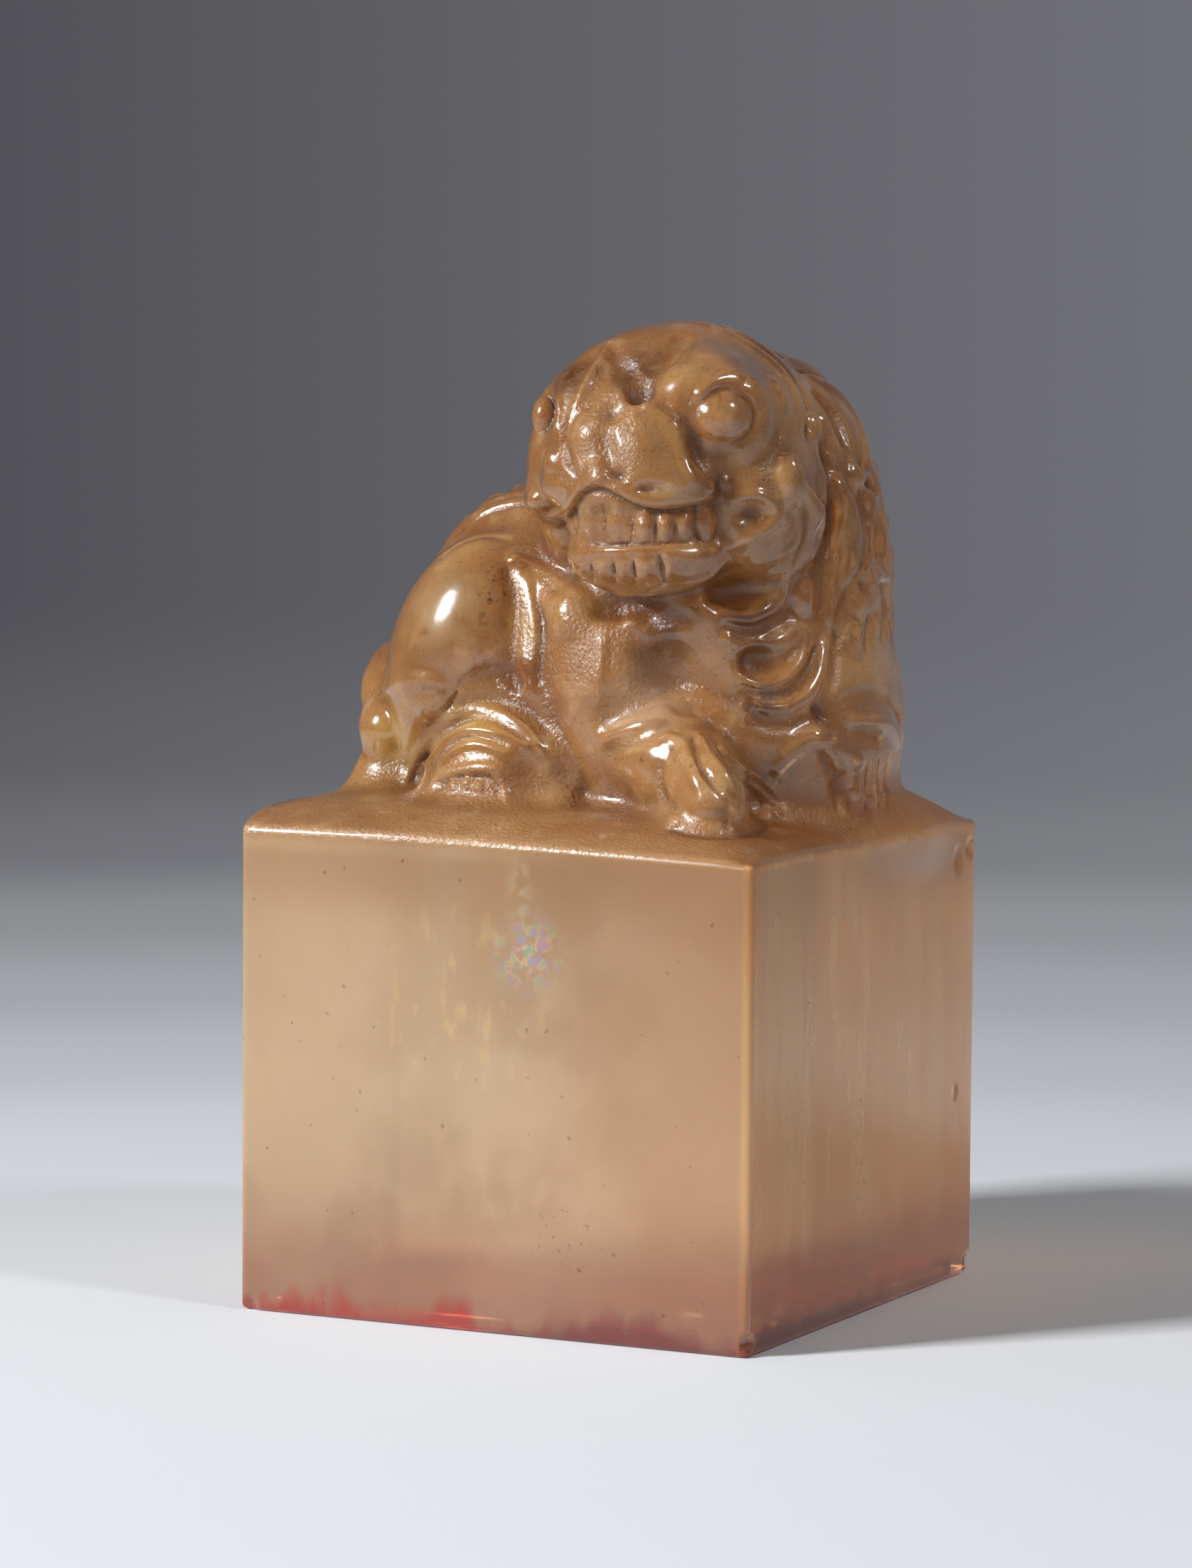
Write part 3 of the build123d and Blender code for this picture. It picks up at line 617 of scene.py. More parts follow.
CURLS = (
    ("pit", (235, 700), (2.6, 1.2, 1.1), 0.3, 0.7),
    ("groove", [(140, 720), (210, 700), (290, 690), (340, 668)], 0.88, 0.21, 0.5),
    ("ridge", [(115, 745), (175, 768), (250, 782), (320, 758), (360, 700), (378, 640)], 0.57, 0.24, 0.34),
    ("groove", [(160, 820), (240, 838), (310, 825), (370, 785), (395, 750)], 0.61, 0.29, 0.4),
    ("ridge", [(165, 862), (215, 893), (290, 893), (370, 862), (425, 838), (446, 875), (425, 950),
               (370, 1010), (290, 1020), (235, 1000)], 0.62, 0.26, 0.34),
    ("pit", (310, 950), (2.0, 1.0, 1.0), 0.18, 0.6),
    ("groove", [(225, 1045), (310, 1062), (390, 1040), (450, 975), (480, 900)], 0.44, 0.32, 0.32),
    ("ridge", [(300, 1120), (380, 1120), (440, 1080), (490, 1010), (510, 930), (512, 880)], 0.57, 0.22, 0.36),
    ("groove", [(190, 1110), (270, 1150), (360, 1160), (440, 1140), (500, 1090), (540, 1010), (548, 920)],
     0.66, 0.29, 0.5),
)

CHEST = (
    ("ridge", [(775, 340), (900, 395), (1010, 470), (1110, 535), (1230, 580), (1340, 640), (1385, 720),
               (1390, 770)], 0.5, 0.24, 0.4),
    ("groove", [(1000, 400), (1110, 470), (1240, 530), (1390, 600), (1500, 600)], 0.9, 0.3, 0.6),
    ("ridge", [(1160, 700), (1150, 800), (1140, 900), (1152, 990)], 0.36, 0.14, 0.3),
    ("pit", (1450, 790), (1.8, 1.4, 1.4), 0.32, 0.8),
)

CHEST_FOOT = (
    ("groove", [(60, 270), (230, 180), (420, 110), (570, 110), (720, 170)], 1.4, 0.34, 0.9),
    ("ridge", [(60, 400), (200, 320), (350, 250), (510, 185), (650, 225), (790, 275)], 0.9, 0.24, 0.5),
    ("groove", [(70, 460), (220, 400), (380, 340), (520, 310), (640, 320)], 0.6, 0.2, 0.5),
)

FOREPAW = (
    ("ridge", [(400, 380), (470, 440), (520, 520), (560, 620), (600, 700)], 0.7, 0.26, 0.3),
    ("groove", [(530, 380), (560, 480), (610, 590), (680, 690), (720, 790)], 0.24, 0.26, 0.18),
    ("ridge", [(590, 400), (650, 500), (720, 600), (780, 700), (800, 780)], 0.55, 0.22, 0.22),
    ("groove", [(660, 430), (720, 520), (800, 610), (880, 700), (920, 790)], 0.18, 0.2, 0.12),
    ("ridge", [(690, 395), (730, 480), (800, 560), (890, 640), (970, 710), (1045, 790)], 0.5, 0.2, 0.25),
    ("groove", [(740, 480), (820, 575), (900, 650), (980, 720), (1050, 775)], 0.18, 0.24, 0.15),
    ("groove", [(350, 560), (355, 660), (390, 740), (450, 800)], 0.4, 0.22, 0.3),
    ("bump", (620, 770), (1.0, 0.9, 0.9), 0.18, 0.35),
    ("bump", (435, 845), (0.7, 0.7, 0.6), 0.14, 0.3),
    ("bump", (775, 815), (0.7, 0.7, 0.6), 0.16, 0.25),
    ("bump", (950, 812), 0.5, 0.14, 0.2),
    ("bump", (1052, 798), 0.5, 0.12, 0.2),
    ("groove", [(420, 900), (560, 930), (720, 935), (870, 920), (950, 870)], 0.3, 0.16, 0.25),
    ("ridge", [(1000, 560), (1100, 460), (1200, 400), (1290, 440), (1370, 480), (1450, 520)],
     0.7, 0.26, 0.35),
    ("groove", [(1210, 240), (1300, 300), (1420, 350), (1560, 400)], 0.5, 0.26, 0.35),
    ("ridge", [(1290, 470), (1340, 560), (1400, 620), (1440, 690)], 0.45, 0.24, 0.2),
    ("groove", [(1240, 500), (1290, 590), (1330, 680), (1330, 760)], 0.4, 0.24, 0.25),
    ("pit", (1360, 640), (0.8, 0.8, 1.0), 0.26, 0.3),
    ("bump", (1455, 525), 0.6, 0.2, 0.2),
    ("bump", (1425, 695), (0.45, 0.45, 0.6), 0.2, 0.15),
    ("bump", (1495, 705), (0.45, 0.45, 0.5), 0.18, 0.15),
    ("bump", (1375, 810), 0.4, 0.18, 0.15),
)

SHOULDER = (
    ("groove", [(745, 400), (770, 520), (770, 660), (765, 800), (790, 880)], 0.8, 0.3, 0.6),
    ("ridge", [(775, 345), (815, 470), (822, 620), (808, 760), (815, 860), (880, 960), (950, 1100),
               (1015, 1240), (1050, 1330)], 0.6, 0.18, 0.5),
    ("ridge", [(830, 420), (855, 560), (860, 700), (850, 820)], 0.3, 0.12, 0.25),
    ("groove", [(870, 480), (890, 620), (890, 760), (880, 880)], 0.3, 0.14, 0.25),
    ("ridge", [(880, 440), (945, 540), (1010, 610), (1050, 640)], 0.9, 0.3, 0.5),
    ("bump", (985, 590), (1.2, 1.0, 1.6), 0.24, 0.5),
    ("groove", [(925, 868), (905, 920), (885, 955)], 0.07, 0.08, 0.05),
    ("pit", (960, 1300), 0.9, 0.3, 0.4),
)

HAUNCH = (
    ("ridge", [(165, 945), (230, 900), (310, 875), (400, 880), (450, 900)], 0.5, 0.12, 0.4),
    ("groove", [(520, 900), (505, 950), (470, 1000), (430, 1042), (365, 1088)], 0.13, 0.26, 0.1),
    ("bump", (385, 985), (1.0, 0.9, 1.1), 0.24, 0.4),
    ("groove", [(440, 330), (540, 262), (640, 235), (730, 250)], 0.3, 0.12, 0.3),
    ("groove", [(560, 880), (640, 850), (720, 850), (790, 890)], 0.6, 0.2, 0.5),
    ("ridge", [(285, 1320), (330, 1220), (400, 1130), (480, 1045), (560, 1008), (650, 1000), (740, 1032),
               (830, 1095), (890, 1180)], 0.4, 0.22, 0.24),
    ("groove", [(320, 1320), (370, 1230), (430, 1150), (500, 1078), (570, 1045), (650, 1045), (730, 1075),
                (810, 1135)], 0.22, 0.2, 0.16),
    ("ridge", [(355, 1280), (420, 1190), (480, 1125), (560, 1092), (650, 1098), (740, 1120), (820, 1170)],
     0.36, 0.18, 0.2),
    ("groove", [(385, 1300), (440, 1215), (500, 1155), (575, 1125), (650, 1132), (730, 1160)],
     0.22, 0.2, 0.16),
    ("ridge", [(430, 1270), (490, 1190), (570, 1155), (650, 1165), (720, 1200)], 0.3, 0.12, 0.18),
    ("ridge", [(400, 1360), (440, 1300), (520, 1275), (610, 1262), (680, 1268), (722, 1320), (738, 1395)],
     0.4, 0.2, 0.2),
    ("groove", [(440, 1350), (500, 1310), (590, 1300), (660, 1310), (700, 1370)], 0.2, 0.14, 0.15),
    *[("bump", (x, y), 0.42, 0.18, 0.12) for x, y in ((500, 1340), (558, 1330), (610, 1350))],
    ("pit", (860, 1290), (1.8, 1.2, 1.5), 0.3, 0.7),
)

CHIPS = (
    ("pit", (1350, 1214), (0.6, 0.8, 1.1), 0.2, 0.15),
    ("pit", (1368, 1196), (0.6, 0.8, 0.7), 0.3, 0.1),
    ("pit", (1346, 1540), (0.4, 0.5, 0.6), 0.1, 0.1),
    ("pit", (1364, 1780), (0.7, 0.9, 0.8), 0.4, 0.1),
    ("pit", (1368, 1640), (0.4, 0.5, 1.2), 0.14, 0.1),
    ("pit", (1056, 1893), (0.7, 0.7, 0.6), 0.3, 0.15),
    ("pit", (352, 1838), (0.6, 0.6, 0.7), 0.25, 0.15),
)

# In the order of the carving: the part of the photograph where the marks were read, and the marks
VISIBLE = (
    (WHOLE, CHIPS),
    (FACE, FOREHEAD + NOSE + MOUTH),
    (HEAD, CHEEK),
    (FACE, EYES),
    (HEAD, EAR),
    (LOCKS, UPPER_LOCKS),
    (WHOLE, MANE_EDGE),
    (LOCKS, SMALL_LOCKS + CURLS),
    (BODY, CHEST),
    (PAWS, CHEST_FOOT),
    (BODY, SHOULDER + HAUNCH),
    (PAWS, FOREPAW),
)


def carve(clay, marks, part=WHOLE, view=None):
    """Carve marks read in a part of the photograph or, with a view, marks in mm seen from that side."""
    for kind, places, size, height, blend in marks:
        path = marks_in(part, places) if view is None else places
        if kind == "ridge":
            clay.stroke(path, size, height, blend, view)
        elif kind == "groove":
            clay.groove(path, size, height, blend=blend, view=view)
        else:
            clay.dot(path, size, height, blend, view, carve=kind == "pit")


# What the photograph doesn't show is seen from other sides: azimuth and elevation in degrees
BEHIND = (180, 25)
LEFT_SIDE = (180, 5)
RUMP_SIDE = (-90, 10)
CHEST_SIDE = (90, 8)
NEAR_CHEST = (60, 8)
FAR_CHEEK = (-78, 8)
HEAD_MIDDLE = 5.4
CURL_TURN, CURL_POINTS = 430, 16

# The right ear's rim, its hollow and the fold in it
FAR_EAR = (
    ("ridge", [(-1, -1.6, 49.6), (-1, 0.2, 49.8), (-1, 1.7, 48.4), (-1, 2.0, 46.2), (-1, 1.0, 44.2),
               (-1, -0.4, 43.6)], 0.75, 0.5, 0.3),
    ("pit", (-1, 0.1, 46.9), (1.1, 1.2, 2.2), 0.4, 0.4),
    ("ridge", [(-1, -1.4, 49.0), (-1, -1.9, 47.0), (-1, -1.4, 44.6)], 0.4, 0.25, 0.2),
)

# The far flank: the hind toes, the crease of the haunch, the shoulder's edge and fold, and the foreleg
FAR_FLANK = (
    *[("bump", (x, 12, 27.2), 0.6, 0.26, 0.15) for x in (-4.6, -3.4, -2.2)],
    ("groove", [(-10.5, 9, 31.0), (-8.6, 9, 32.4), (-6.4, 9, 33.0), (-3.4, 9, 32.8)], 0.3, 0.28, 0.25),
    ("groove", [(-1.2, 9, 41.0), (-0.6, 9, 37.5), (-0.2, 9, 34.0), (0.6, 9, 30.5)], 0.8, 0.4, 0.5),
    ("ridge", [(5.6, 9, 36.6), (4.6, 9, 34.0), (4.2, 9, 31.4), (4.8, 9, 28.6)], 0.5, 0.28, 0.35),
    ("ridge", [(5.0, 9, 30.2), (7.0, 9, 31.4), (9.4, 9, 31.2), (11.6, 9, 29.6)], 0.6, 0.26, 0.4),
    ("groove", [(5.4, 9, 29.2), (7.2, 9, 30.2), (9.4, 9, 30.0), (11.2, 9, 28.6)], 0.4, 0.3, 0.3),
)

# The left forepaw: the fold over it and the crease above, after its toes
LEFT_PAW = (
    ("ridge", [(13, -3.4, 31.0), (13, -0.6, 31.6), (13, 2.6, 31.4), (13, 5.4, 30.2)], 0.7, 0.24, 0.4),
    ("groove", [(13, -3.2, 32.4), (13, -0.4, 33.0), (13, 2.8, 32.8), (13, 5.8, 31.6)], 0.5, 0.28, 0.4),
)


def lock(clay, path, width, height, view):
    """One lock of the mane: a broad ridge, with a parting beside it."""
    clay.stroke(path, width, height, blend=0.4, view=view, taper=(0.5, 1.0, 0.9, 0.5))
    clay.groove(np.asarray(path) + np.array([width * 0.9, 0, 0]), 0.24, 0.4, blend=0.2, view=view)


def curl(clay, centre, radius, view, turn=1):
    """A snail curl at a lock's end, on a side seen along Y."""
    angles = np.radians(np.linspace(90, 90 + CURL_TURN * turn, CURL_POINTS))
    radii = np.linspace(radius, radius * 0.25, CURL_POINTS)
    path = np.array(centre) + np.stack([radii * np.cos(angles), 0 * radii, radii * np.sin(angles)], axis=1)
    clay.dot(centre, radius, 0.3, 0.4, view=view)
    clay.groove(path, 0.16, 0.24, blend=0.12, view=view)


def mane_behind(clay):
    """The mane on the back of the head: wavy locks that spread from the crown and end in snail curls."""
    for k in range(-3, 4):
        top = HEAD_MIDDLE + 1.2 * k
        foot = HEAD_MIDDLE + 0.6 + 2.0 * k
        end = 37.4 + 0.3 * k * k
        path = [(top, 0.5, 51.8 - 0.2 * k * k), (top + 0.5, 5, 48.6 - 0.1 * k * k),
                ((top + foot) / 2 - 0.6, 7, 44.6), (foot + 0.4, 7.5, 41.0), (foot, 8, end)]
        lock(clay, path, 0.95, 0.34, BEHIND)
        curl(clay, (foot, 8, end - 0.7), 1.25, LEFT_SIDE, turn=1 if k >= 0 else -1)
    for k in range(-2, 3):
        centre = (HEAD_MIDDLE + 1.0 + 2.5 * k, 8, 34.6 + 0.25 * k * k)
        curl(clay, centre, 1.3, LEFT_SIDE, turn=-1 if k > 0 else 1)


def head_far_side(clay):
    """The lion's right cheek and ear, on the side of the head that the photograph only grazes."""
    carve(clay, FAR_EAR, view=FAR_CHEEK)
    for k in range(3):
        path = [(-1, -2.6 + 1.6 * k, 43.0), (-1, -2.0 + 1.7 * k, 41.2), (-1, -2.9 + 1.8 * k, 39.4),
                (-1, -1.6 + 1.8 * k, 38.0)]
        clay.stroke(path, 0.8, 0.3, blend=0.35, view=FAR_CHEEK)
    for k in range(4):
        path = [(-1, -1.8 + 1.7 * k, 43.4), (-1, -1.2 + 1.7 * k, 41.4), (-1, -2.0 + 1.8 * k, 39.4)]
        clay.groove(path, 0.22, 0.3, blend=0.2, view=FAR_CHEEK)


def tail_hair(clay):
    for shift in (-0.75, 0.0, 0.75):
        clay.groove(np.array(TAIL)[1:-1] + np.array([0, 0, shift]), 0.18, 0.2, blend=0.15, view=RUMP_SIDE)
    for k in range(3):
        path = [(-10, 3.4 + 1.3 * k, 28.0), (-10, 2.4 + 1.6 * k, 30.0), (-10, 3.0 + 1.5 * k, 31.6)]
        clay.stroke(path, 0.5, 0.2, blend=0.3, view=RUMP_SIDE)


def left_flank(clay):
    """The far flank, carved as the near one, with the arcs of the hind foot."""
    angles = np.radians(np.linspace(14, 158, 14))
    for size, width in ((5.6, 0.42), (4.5, 0.4), (3.4, 0.36)):
        across, up = size * np.cos(angles), size * 0.98 * np.sin(angles)
        arc = np.stack([-3.4 + across, 0 * angles, 26.6 + up], axis=1)
        clay.stroke(arc, width, 0.28, blend=0.15, view=LEFT_SIDE, taper=(0.6, 1, 0.6))
        clay.groove(arc - [0, 0, 0.5], 0.2, 0.22, blend=0.12, view=LEFT_SIDE)
    carve(clay, FAR_FLANK, view=LEFT_SIDE)


def chest_and_left_paw(clay):
    for k in range(4):
        foot = 0.4 + 2.2 * k
        path = [(13, foot - 1.0, 45.4), (13, foot + 0.2, 43.0), (13, foot - 0.5, 40.4),
                (13, foot + 0.6, 37.6), (13, foot, 35.4 + 0.4 * k)]
        clay.stroke(path, 0.85, 0.3, blend=0.4, view=CHEST_SIDE, taper=(0.5, 1, 0.9, 0.4))
        clay.groove(np.array(path) + [0, 1.05, 0], 0.24, 0.34, blend=0.2, view=CHEST_SIDE)
    for y in (-0.6, 0.7, 2.0, 3.3):
        path = [(13, y, 29.6), (13, y + 0.05, 28.2), (13, y, 26.9)]
        clay.groove(path, 0.16, 0.26, blend=0.12, view=CHEST_SIDE)
        clay.dot((13, y + 0.65, 27.3), 0.6, 0.24, 0.2, view=CHEST_SIDE)
    carve(clay, LEFT_PAW, view=CHEST_SIDE)
    for y in (-12.2, -10.8, -9.6):
        path = [(13, y + 0.5, 29.0), (13, y + 0.2, 27.9), (13, y, 26.9)]
        clay.groove(path, 0.16, 0.2, blend=0.12, view=NEAR_CHEST)


def carve_hidden(clay):
    mane_behind(clay)
    head_far_side(clay)
    tail_hair(clay)
    left_flank(clay)
    chest_and_left_paw(clay)


MM = 0.001
FINE_STEP, QUICK_STEP = 0.16, 0.3
PASTE_STEP = 0.15
STONE_TRIANGLES, PASTE_TRIANGLES = 190000, 40000
# How far round a vertex the stone is averaged, in millimetres, to tell creases and hollows from swellings
CREASE_REACH, HOLLOW_REACH = 0.4, 1.5

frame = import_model()


def new_object(name, mesh):
    thing = bpy.data.objects.new(name, mesh)
    bpy.context.scene.collection.objects.link(thing)
    return thing


def mesh_from(name, vertices, faces):
    """A mesh in metres from points in millimetres and faces that all have the same number of sides."""
    sides = faces.shape[1]
    mesh = bpy.data.meshes.new(name)
    mesh.vertices.add(len(vertices))
    mesh.vertices.foreach_set("co", (vertices * MM).astype(np.float32).ravel())
    mesh.loops.add(faces.size)
    mesh.loops.foreach_set("vertex_index", faces.astype(np.int32).ravel())
    mesh.polygons.add(len(faces))
    mesh.polygons.foreach_set("loop_start", np.arange(0, faces.size, sides, dtype=np.int32))
    mesh.update(calc_edges=True)
    mesh.validate()
    return mesh


def thinned(name, mesh, triangles):
    """The mesh with about so many triangles left, fewest where it is flat."""
    rough = new_object(name + "_full", mesh)
    modifier = rough.modifiers.new("thin", "DECIMATE")
    modifier.ratio = min(1.0, triangles / (2 * len(mesh.polygons)))
    modifier.use_collapse_triangulate = True
    depsgraph = bpy.context.evaluated_depsgraph_get()
    fewer = bpy.data.meshes.new_from_object(rough.evaluated_get(depsgraph))
    bpy.data.objects.remove(rough)
    bpy.data.meshes.remove(mesh)
    fewer.name = name
    return fewer


def paint(mesh, name, values):
    """A number for each vertex, for the materials to read."""
    layer = mesh.attributes.new(name, "FLOAT", "POINT")
    layer.data.foreach_set("value", values.astype(np.float32))


def places_of(mesh):
    """The mesh's vertices in millimetres."""
    flat = np.empty(len(mesh.vertices) * 3, np.float32)
    mesh.vertices.foreach_get("co", flat)
    return flat.reshape(-1, 3).astype(float) / MM


def piece_from(name, clay, triangles):
    """A smooth-shaded object of the clay's surface, with the surface's own normals."""
    vertices, quads = skin(clay)
    mesh = thinned(name, mesh_from(name, vertices, quads), triangles)
    mesh.polygons.foreach_set("use_smooth", np.ones(len(mesh.polygons), bool))
    mesh.normals_split_custom_set_from_vertices(clay.outward(places_of(mesh)).tolist())
    return new_object(name, mesh)


def stone_piece():
    """The carved stone. Its vertices know how deep they lie in a crease or a hollow."""
    step = FINE_STEP
    clay = lion(step)
    carve_hidden(clay)
    for part, marks in VISIBLE:
        carve(clay, marks, part=part)
    seal_face(clay)
    piece = piece_from("stone", clay, STONE_TRIANGLES)
    smooth = Clay(clay.low, clay.low + (np.array(clay.field.shape) - 1) * step, step)
    places = places_of(piece.data)
    for name, reach in (("crease", CREASE_REACH), ("hollow", HOLLOW_REACH)):
        smooth.field = running_mean(np.clip(clay.field, -reach * 2, reach * 2), max(1, round(reach / step)))
        paint(piece.data, name, -smooth.at(places) / reach)
    return piece


def srgb(red, green, blue):
    """A colour given by its values from 0 to 255 in a picture, made linear."""
    return tuple(((c / 255 + 0.055) / 1.055) ** 2.4 for c in (red, green, blue)) + (1.0,)


# The sockets of a Mix node's colours, which it also has for numbers under the same names
MIX_A, MIX_B, MIX_RESULT = 6, 7, 2


def add_node(tree, kind, inputs=(), **settings):
    """A new node with its settings, and each input given a value or linked to a socket."""
    made = tree.nodes.new(kind)
    for name, value in settings.items():
        setattr(made, name, value)
    for socket, value in dict(inputs).items():
        if isinstance(value, bpy.types.NodeSocket):
            tree.links.new(value, made.inputs[socket])
        else:
            made.inputs[socket].default_value = value
    return made


class Finish:
    """A material in the making. Most methods add a node and give its output. Places are in millimetres."""

    def __init__(self, name, **settings):
        self.material = bpy.data.materials.new(name)
        self.material.use_nodes = True
        self.tree = self.material.node_tree
        self.shader = self.tree.nodes["Principled BSDF"]
        for socket, value in settings.items():
            self.shader.inputs[socket.replace("_", " ")].default_value = value
        where = self.node("TexCoord").outputs["Object"]
        self.place = self.vector("SCALE", {0: where, "Scale": 1 / MM})
        self.x, self.y, self.z = self.node("SeparateXYZ", {0: self.place}).outputs

    def node(self, kind, inputs=(), **settings):
        return add_node(self.tree, "ShaderNode" + kind, inputs, **settings)

    def vector(self, operation, inputs, output=0):
        return self.node("VectorMath", inputs, operation=operation).outputs[output]

    def add(self, a, b):
        return self.node("Math", {0: a, 1: b}, operation="ADD").outputs[0]

    def less(self, a, b):
        return self.node("Math", {0: a, 1: b}, operation="SUBTRACT").outputs[0]

    def times(self, a, b):
        return self.node("Math", {0: a, 1: b}, operation="MULTIPLY").outputs[0]

    def level(self, value, low, high, bottom=0.0, top=1.0):
        """From bottom to top, smoothly, as the value goes from low to high."""
        inputs = {"Value": value, "From Min": low, "From Max": high, "To Min": bottom, "To Max": top}
        return self.node("MapRange", inputs, interpolation_type="SMOOTHSTEP").outputs[0]

    def noise(self, size, low=0.35, high=0.65, detail=3.0, stretch=(1, 1, 1), seed=0.0):
        """Clouds of about that size, from 0 to 1."""
        inputs = {0: self.place, 1: tuple(1 / s for s in stretch), 2: (seed, seed, seed)}
        spot = self.vector("MULTIPLY_ADD", inputs)
        cloud = self.node("TexNoise", {"Vector": spot, "Scale": 1 / size, "Detail": detail}).outputs[0]
        return self.level(cloud, low, high)

    def near(self, place, radius, stretch=(1, 1, 1)):
        """1 at a place, falling to 0 at the radius."""
        offset = self.vector("SUBTRACT", {0: self.place, 1: place})
        offset = self.vector("DIVIDE", {0: offset, 1: stretch})
        return self.level(self.vector("LENGTH", {0: offset}, "Value"), radius, 0.0)

    def read(self, name):
        """The numbers painted on the mesh under a name."""
        return self.node("Attribute", attribute_name=name).outputs["Fac"]

    def mix(self, factor, a, b):
        return self.node("Mix", {0: factor, MIX_A: a, MIX_B: b}, data_type="RGBA").outputs[MIX_RESULT]

    def over(self, colour, shade, amount, share=None):
        """The colour with a shade laid over it by an amount, or by a share of that."""
        return self.mix(amount if share is None else self.times(amount, share), colour, srgb(*shade))

    def bump(self, height, distance):
        inputs = {"Height": height, "Distance": distance * MM, "Strength": 1.0}
        self.to("Normal", self.node("Bump", inputs).outputs[0])

    def to(self, socket, value):
        self.tree.links.new(value, self.shader.inputs[socket])


# Where the stone's marks, its painted reflection and its painted glow lie: place and radius in mm, and
# stretch
PAINTED_REFLECTION_CORNER = (-12, -15, 20), 20
WISPS = (-1.5, -15, 18), 9
# A painted golden glow round the hind foot and the tail knob
PAINTED_GOLD_GLOW = (-10, -6, 29), 7
HAUNCH_CLOUD = (-6.5, -9.5, 36), 7.5, (0.6, 1.2, 1)
FLAW = (2.2, -15, 20.2), 2.8
VEIL = (1.7, -15, 23.6), 1.6, (0.7, 1, 2.2)
SPECKS = (4.6, -15, 5.6), 3.6, (1, 1, 0.7)
INCLUSION = (15, -9.5, 23), 3

# The lion's dark brown patches, and pale and golden ones of painted glow and highlight: place and radius in
# mm, colour, and strength
DARK_PATCHES_AND_PAINTED_LIGHT = (
    ((5.2, -8.6, 50.5), 2.6, (92, 48, 20), 0.9),
    ((1.1, -8.6, 50.1), 2.4, (92, 48, 20), 0.9),
    ((9.9, -8.7, 44.3), 1.6, (104, 56, 24), 0.8),
    ((6.7, -7.9, 36.8), 3.2, (92, 48, 20), 0.9),
    ((10.6, -5.8, 37.2), 2.8, (92, 48, 20), 0.9),
    ((11.1, -5.8, 33.1), 2.4, (92, 48, 20), 0.9),
    ((-2.0, -8.0, 33.9), 2.6, (150, 82, 30), 0.8),
    ((11.7, -5.2, 29.3), 2.0, (96, 52, 22), 0.8),
    ((6.0, -8.6, 33.0), 3.0, (232, 196, 160), 0.7),
    ((-6.4, -8.7, 37.5), 3.6, (240, 206, 150), 0.7),
    ((14.2, 3.8, 34.5), 4.0, (244, 204, 150), 0.7),
    ((-4.1, -8.9, 31.6), 3.0, (240, 180, 84), 0.7),
    ((-2.9, -7.9, 36.9), 2.0, (226, 158, 66), 0.6),
    ((-10.1, -7.0, 30.4), 2.4, (252, 206, 110), 0.8),
)
SOOT = (((-3.3, -7.7, 38.3), 3.0), ((11.7, -5.2, 29.3), 1.6), ((1.1, -8.6, 28.0), 1.4))
# Where the polish is gone besides the hollows, and by how much: nose, forehead, chest and hind paw
FROSTED = (((4.7, -11, 46.4), 4.2, 0.6), ((4.2, -9, 50.5), 4.0, 0.5), ((2.5, -10, 36.5), 6, 0.5),
           ((-3.4, -12, 28), 5, 0.3))
# Swellings that are polished brightest
BRIGHT = (((12.8, -5.3, 45.0), 1.8), ((13.4, 1.1, 41.5), 2.6), ((12.1, -2.8, 38.6), 1.6),
          ((11.8, 0.1, 47.5), 1.2), ((11.3, -4.1, 49.2), 1.5), ((-10.0, -7.1, 31.4), 2.4))
# The colours of the rainbow flaw: at its ends, and at places between them
RAINBOW_ENDS = (176, 196, 236), (214, 176, 226)
RAINBOW = (0.3, (236, 170, 196)), (0.5, (250, 226, 160)), (0.7, (168, 220, 176))


def block_colour(f):
    """Beige on the wide face, top left paler by painted reflection; right face browner, streaked upright,
    painted glow.
    """
    wide = f.mix(f.noise(8, 0.38, 0.62), srgb(194, 156, 116), srgb(224, 190, 152))
    # Painted reflection: the wide face paler towards its top left
    wide = f.over(wide, (244, 214, 174), f.near(*PAINTED_REFLECTION_CORNER), 0.8)
    wide = f.over(wide, (232, 198, 142), f.noise(2.2, 0.5, 0.8, stretch=(1, 1, 2), seed=4), 0.5)
    wisps = f.times(f.noise(0.9, 0.52, 0.7, stretch=(1, 1, 2.4), seed=25), f.near(*WISPS))
    wide = f.over(wide, (250, 222, 152), wisps, 0.7)
    wide = f.over(wide, (176, 122, 76), f.level(f.x, 0, 14), 0.75)
    # Painted glow: the right face lighter and more orange, standing in for light shining through the stone
    side = f.mix(f.noise(2.0, 0.35, 0.65, stretch=(1, 1, 7), seed=6), srgb(240, 164, 88), srgb(250, 192, 114))
    side = f.over(side, (255, 222, 150), f.noise(1.4, 0.5, 0.8, stretch=(1, 1, 7), seed=1), 0.6)
    colour = f.mix(f.level(f.x, 14.3, 14.8), wide, side)
    # A painted darker stripe, standing in for the top's edge seen by refraction through the stone
    painted_refraction_band = f.times(f.level(f.z, 20.5, 24.0), f.level(f.z, 25.4, 24.6))
    return f.over(colour, (166, 114, 68), painted_refraction_band, 0.4)


def lion_colour(f):
    body = f.mix(f.noise(6, 0.35, 0.65, seed=9), srgb(190, 124, 58), srgb(214, 156, 90))
    body = f.over(body, (238, 188, 128), f.noise(1.6, 0.5, 0.75, seed=12))
    return f.over(body, (176, 110, 54), f.noise(3, 0.55, 0.75, seed=31))


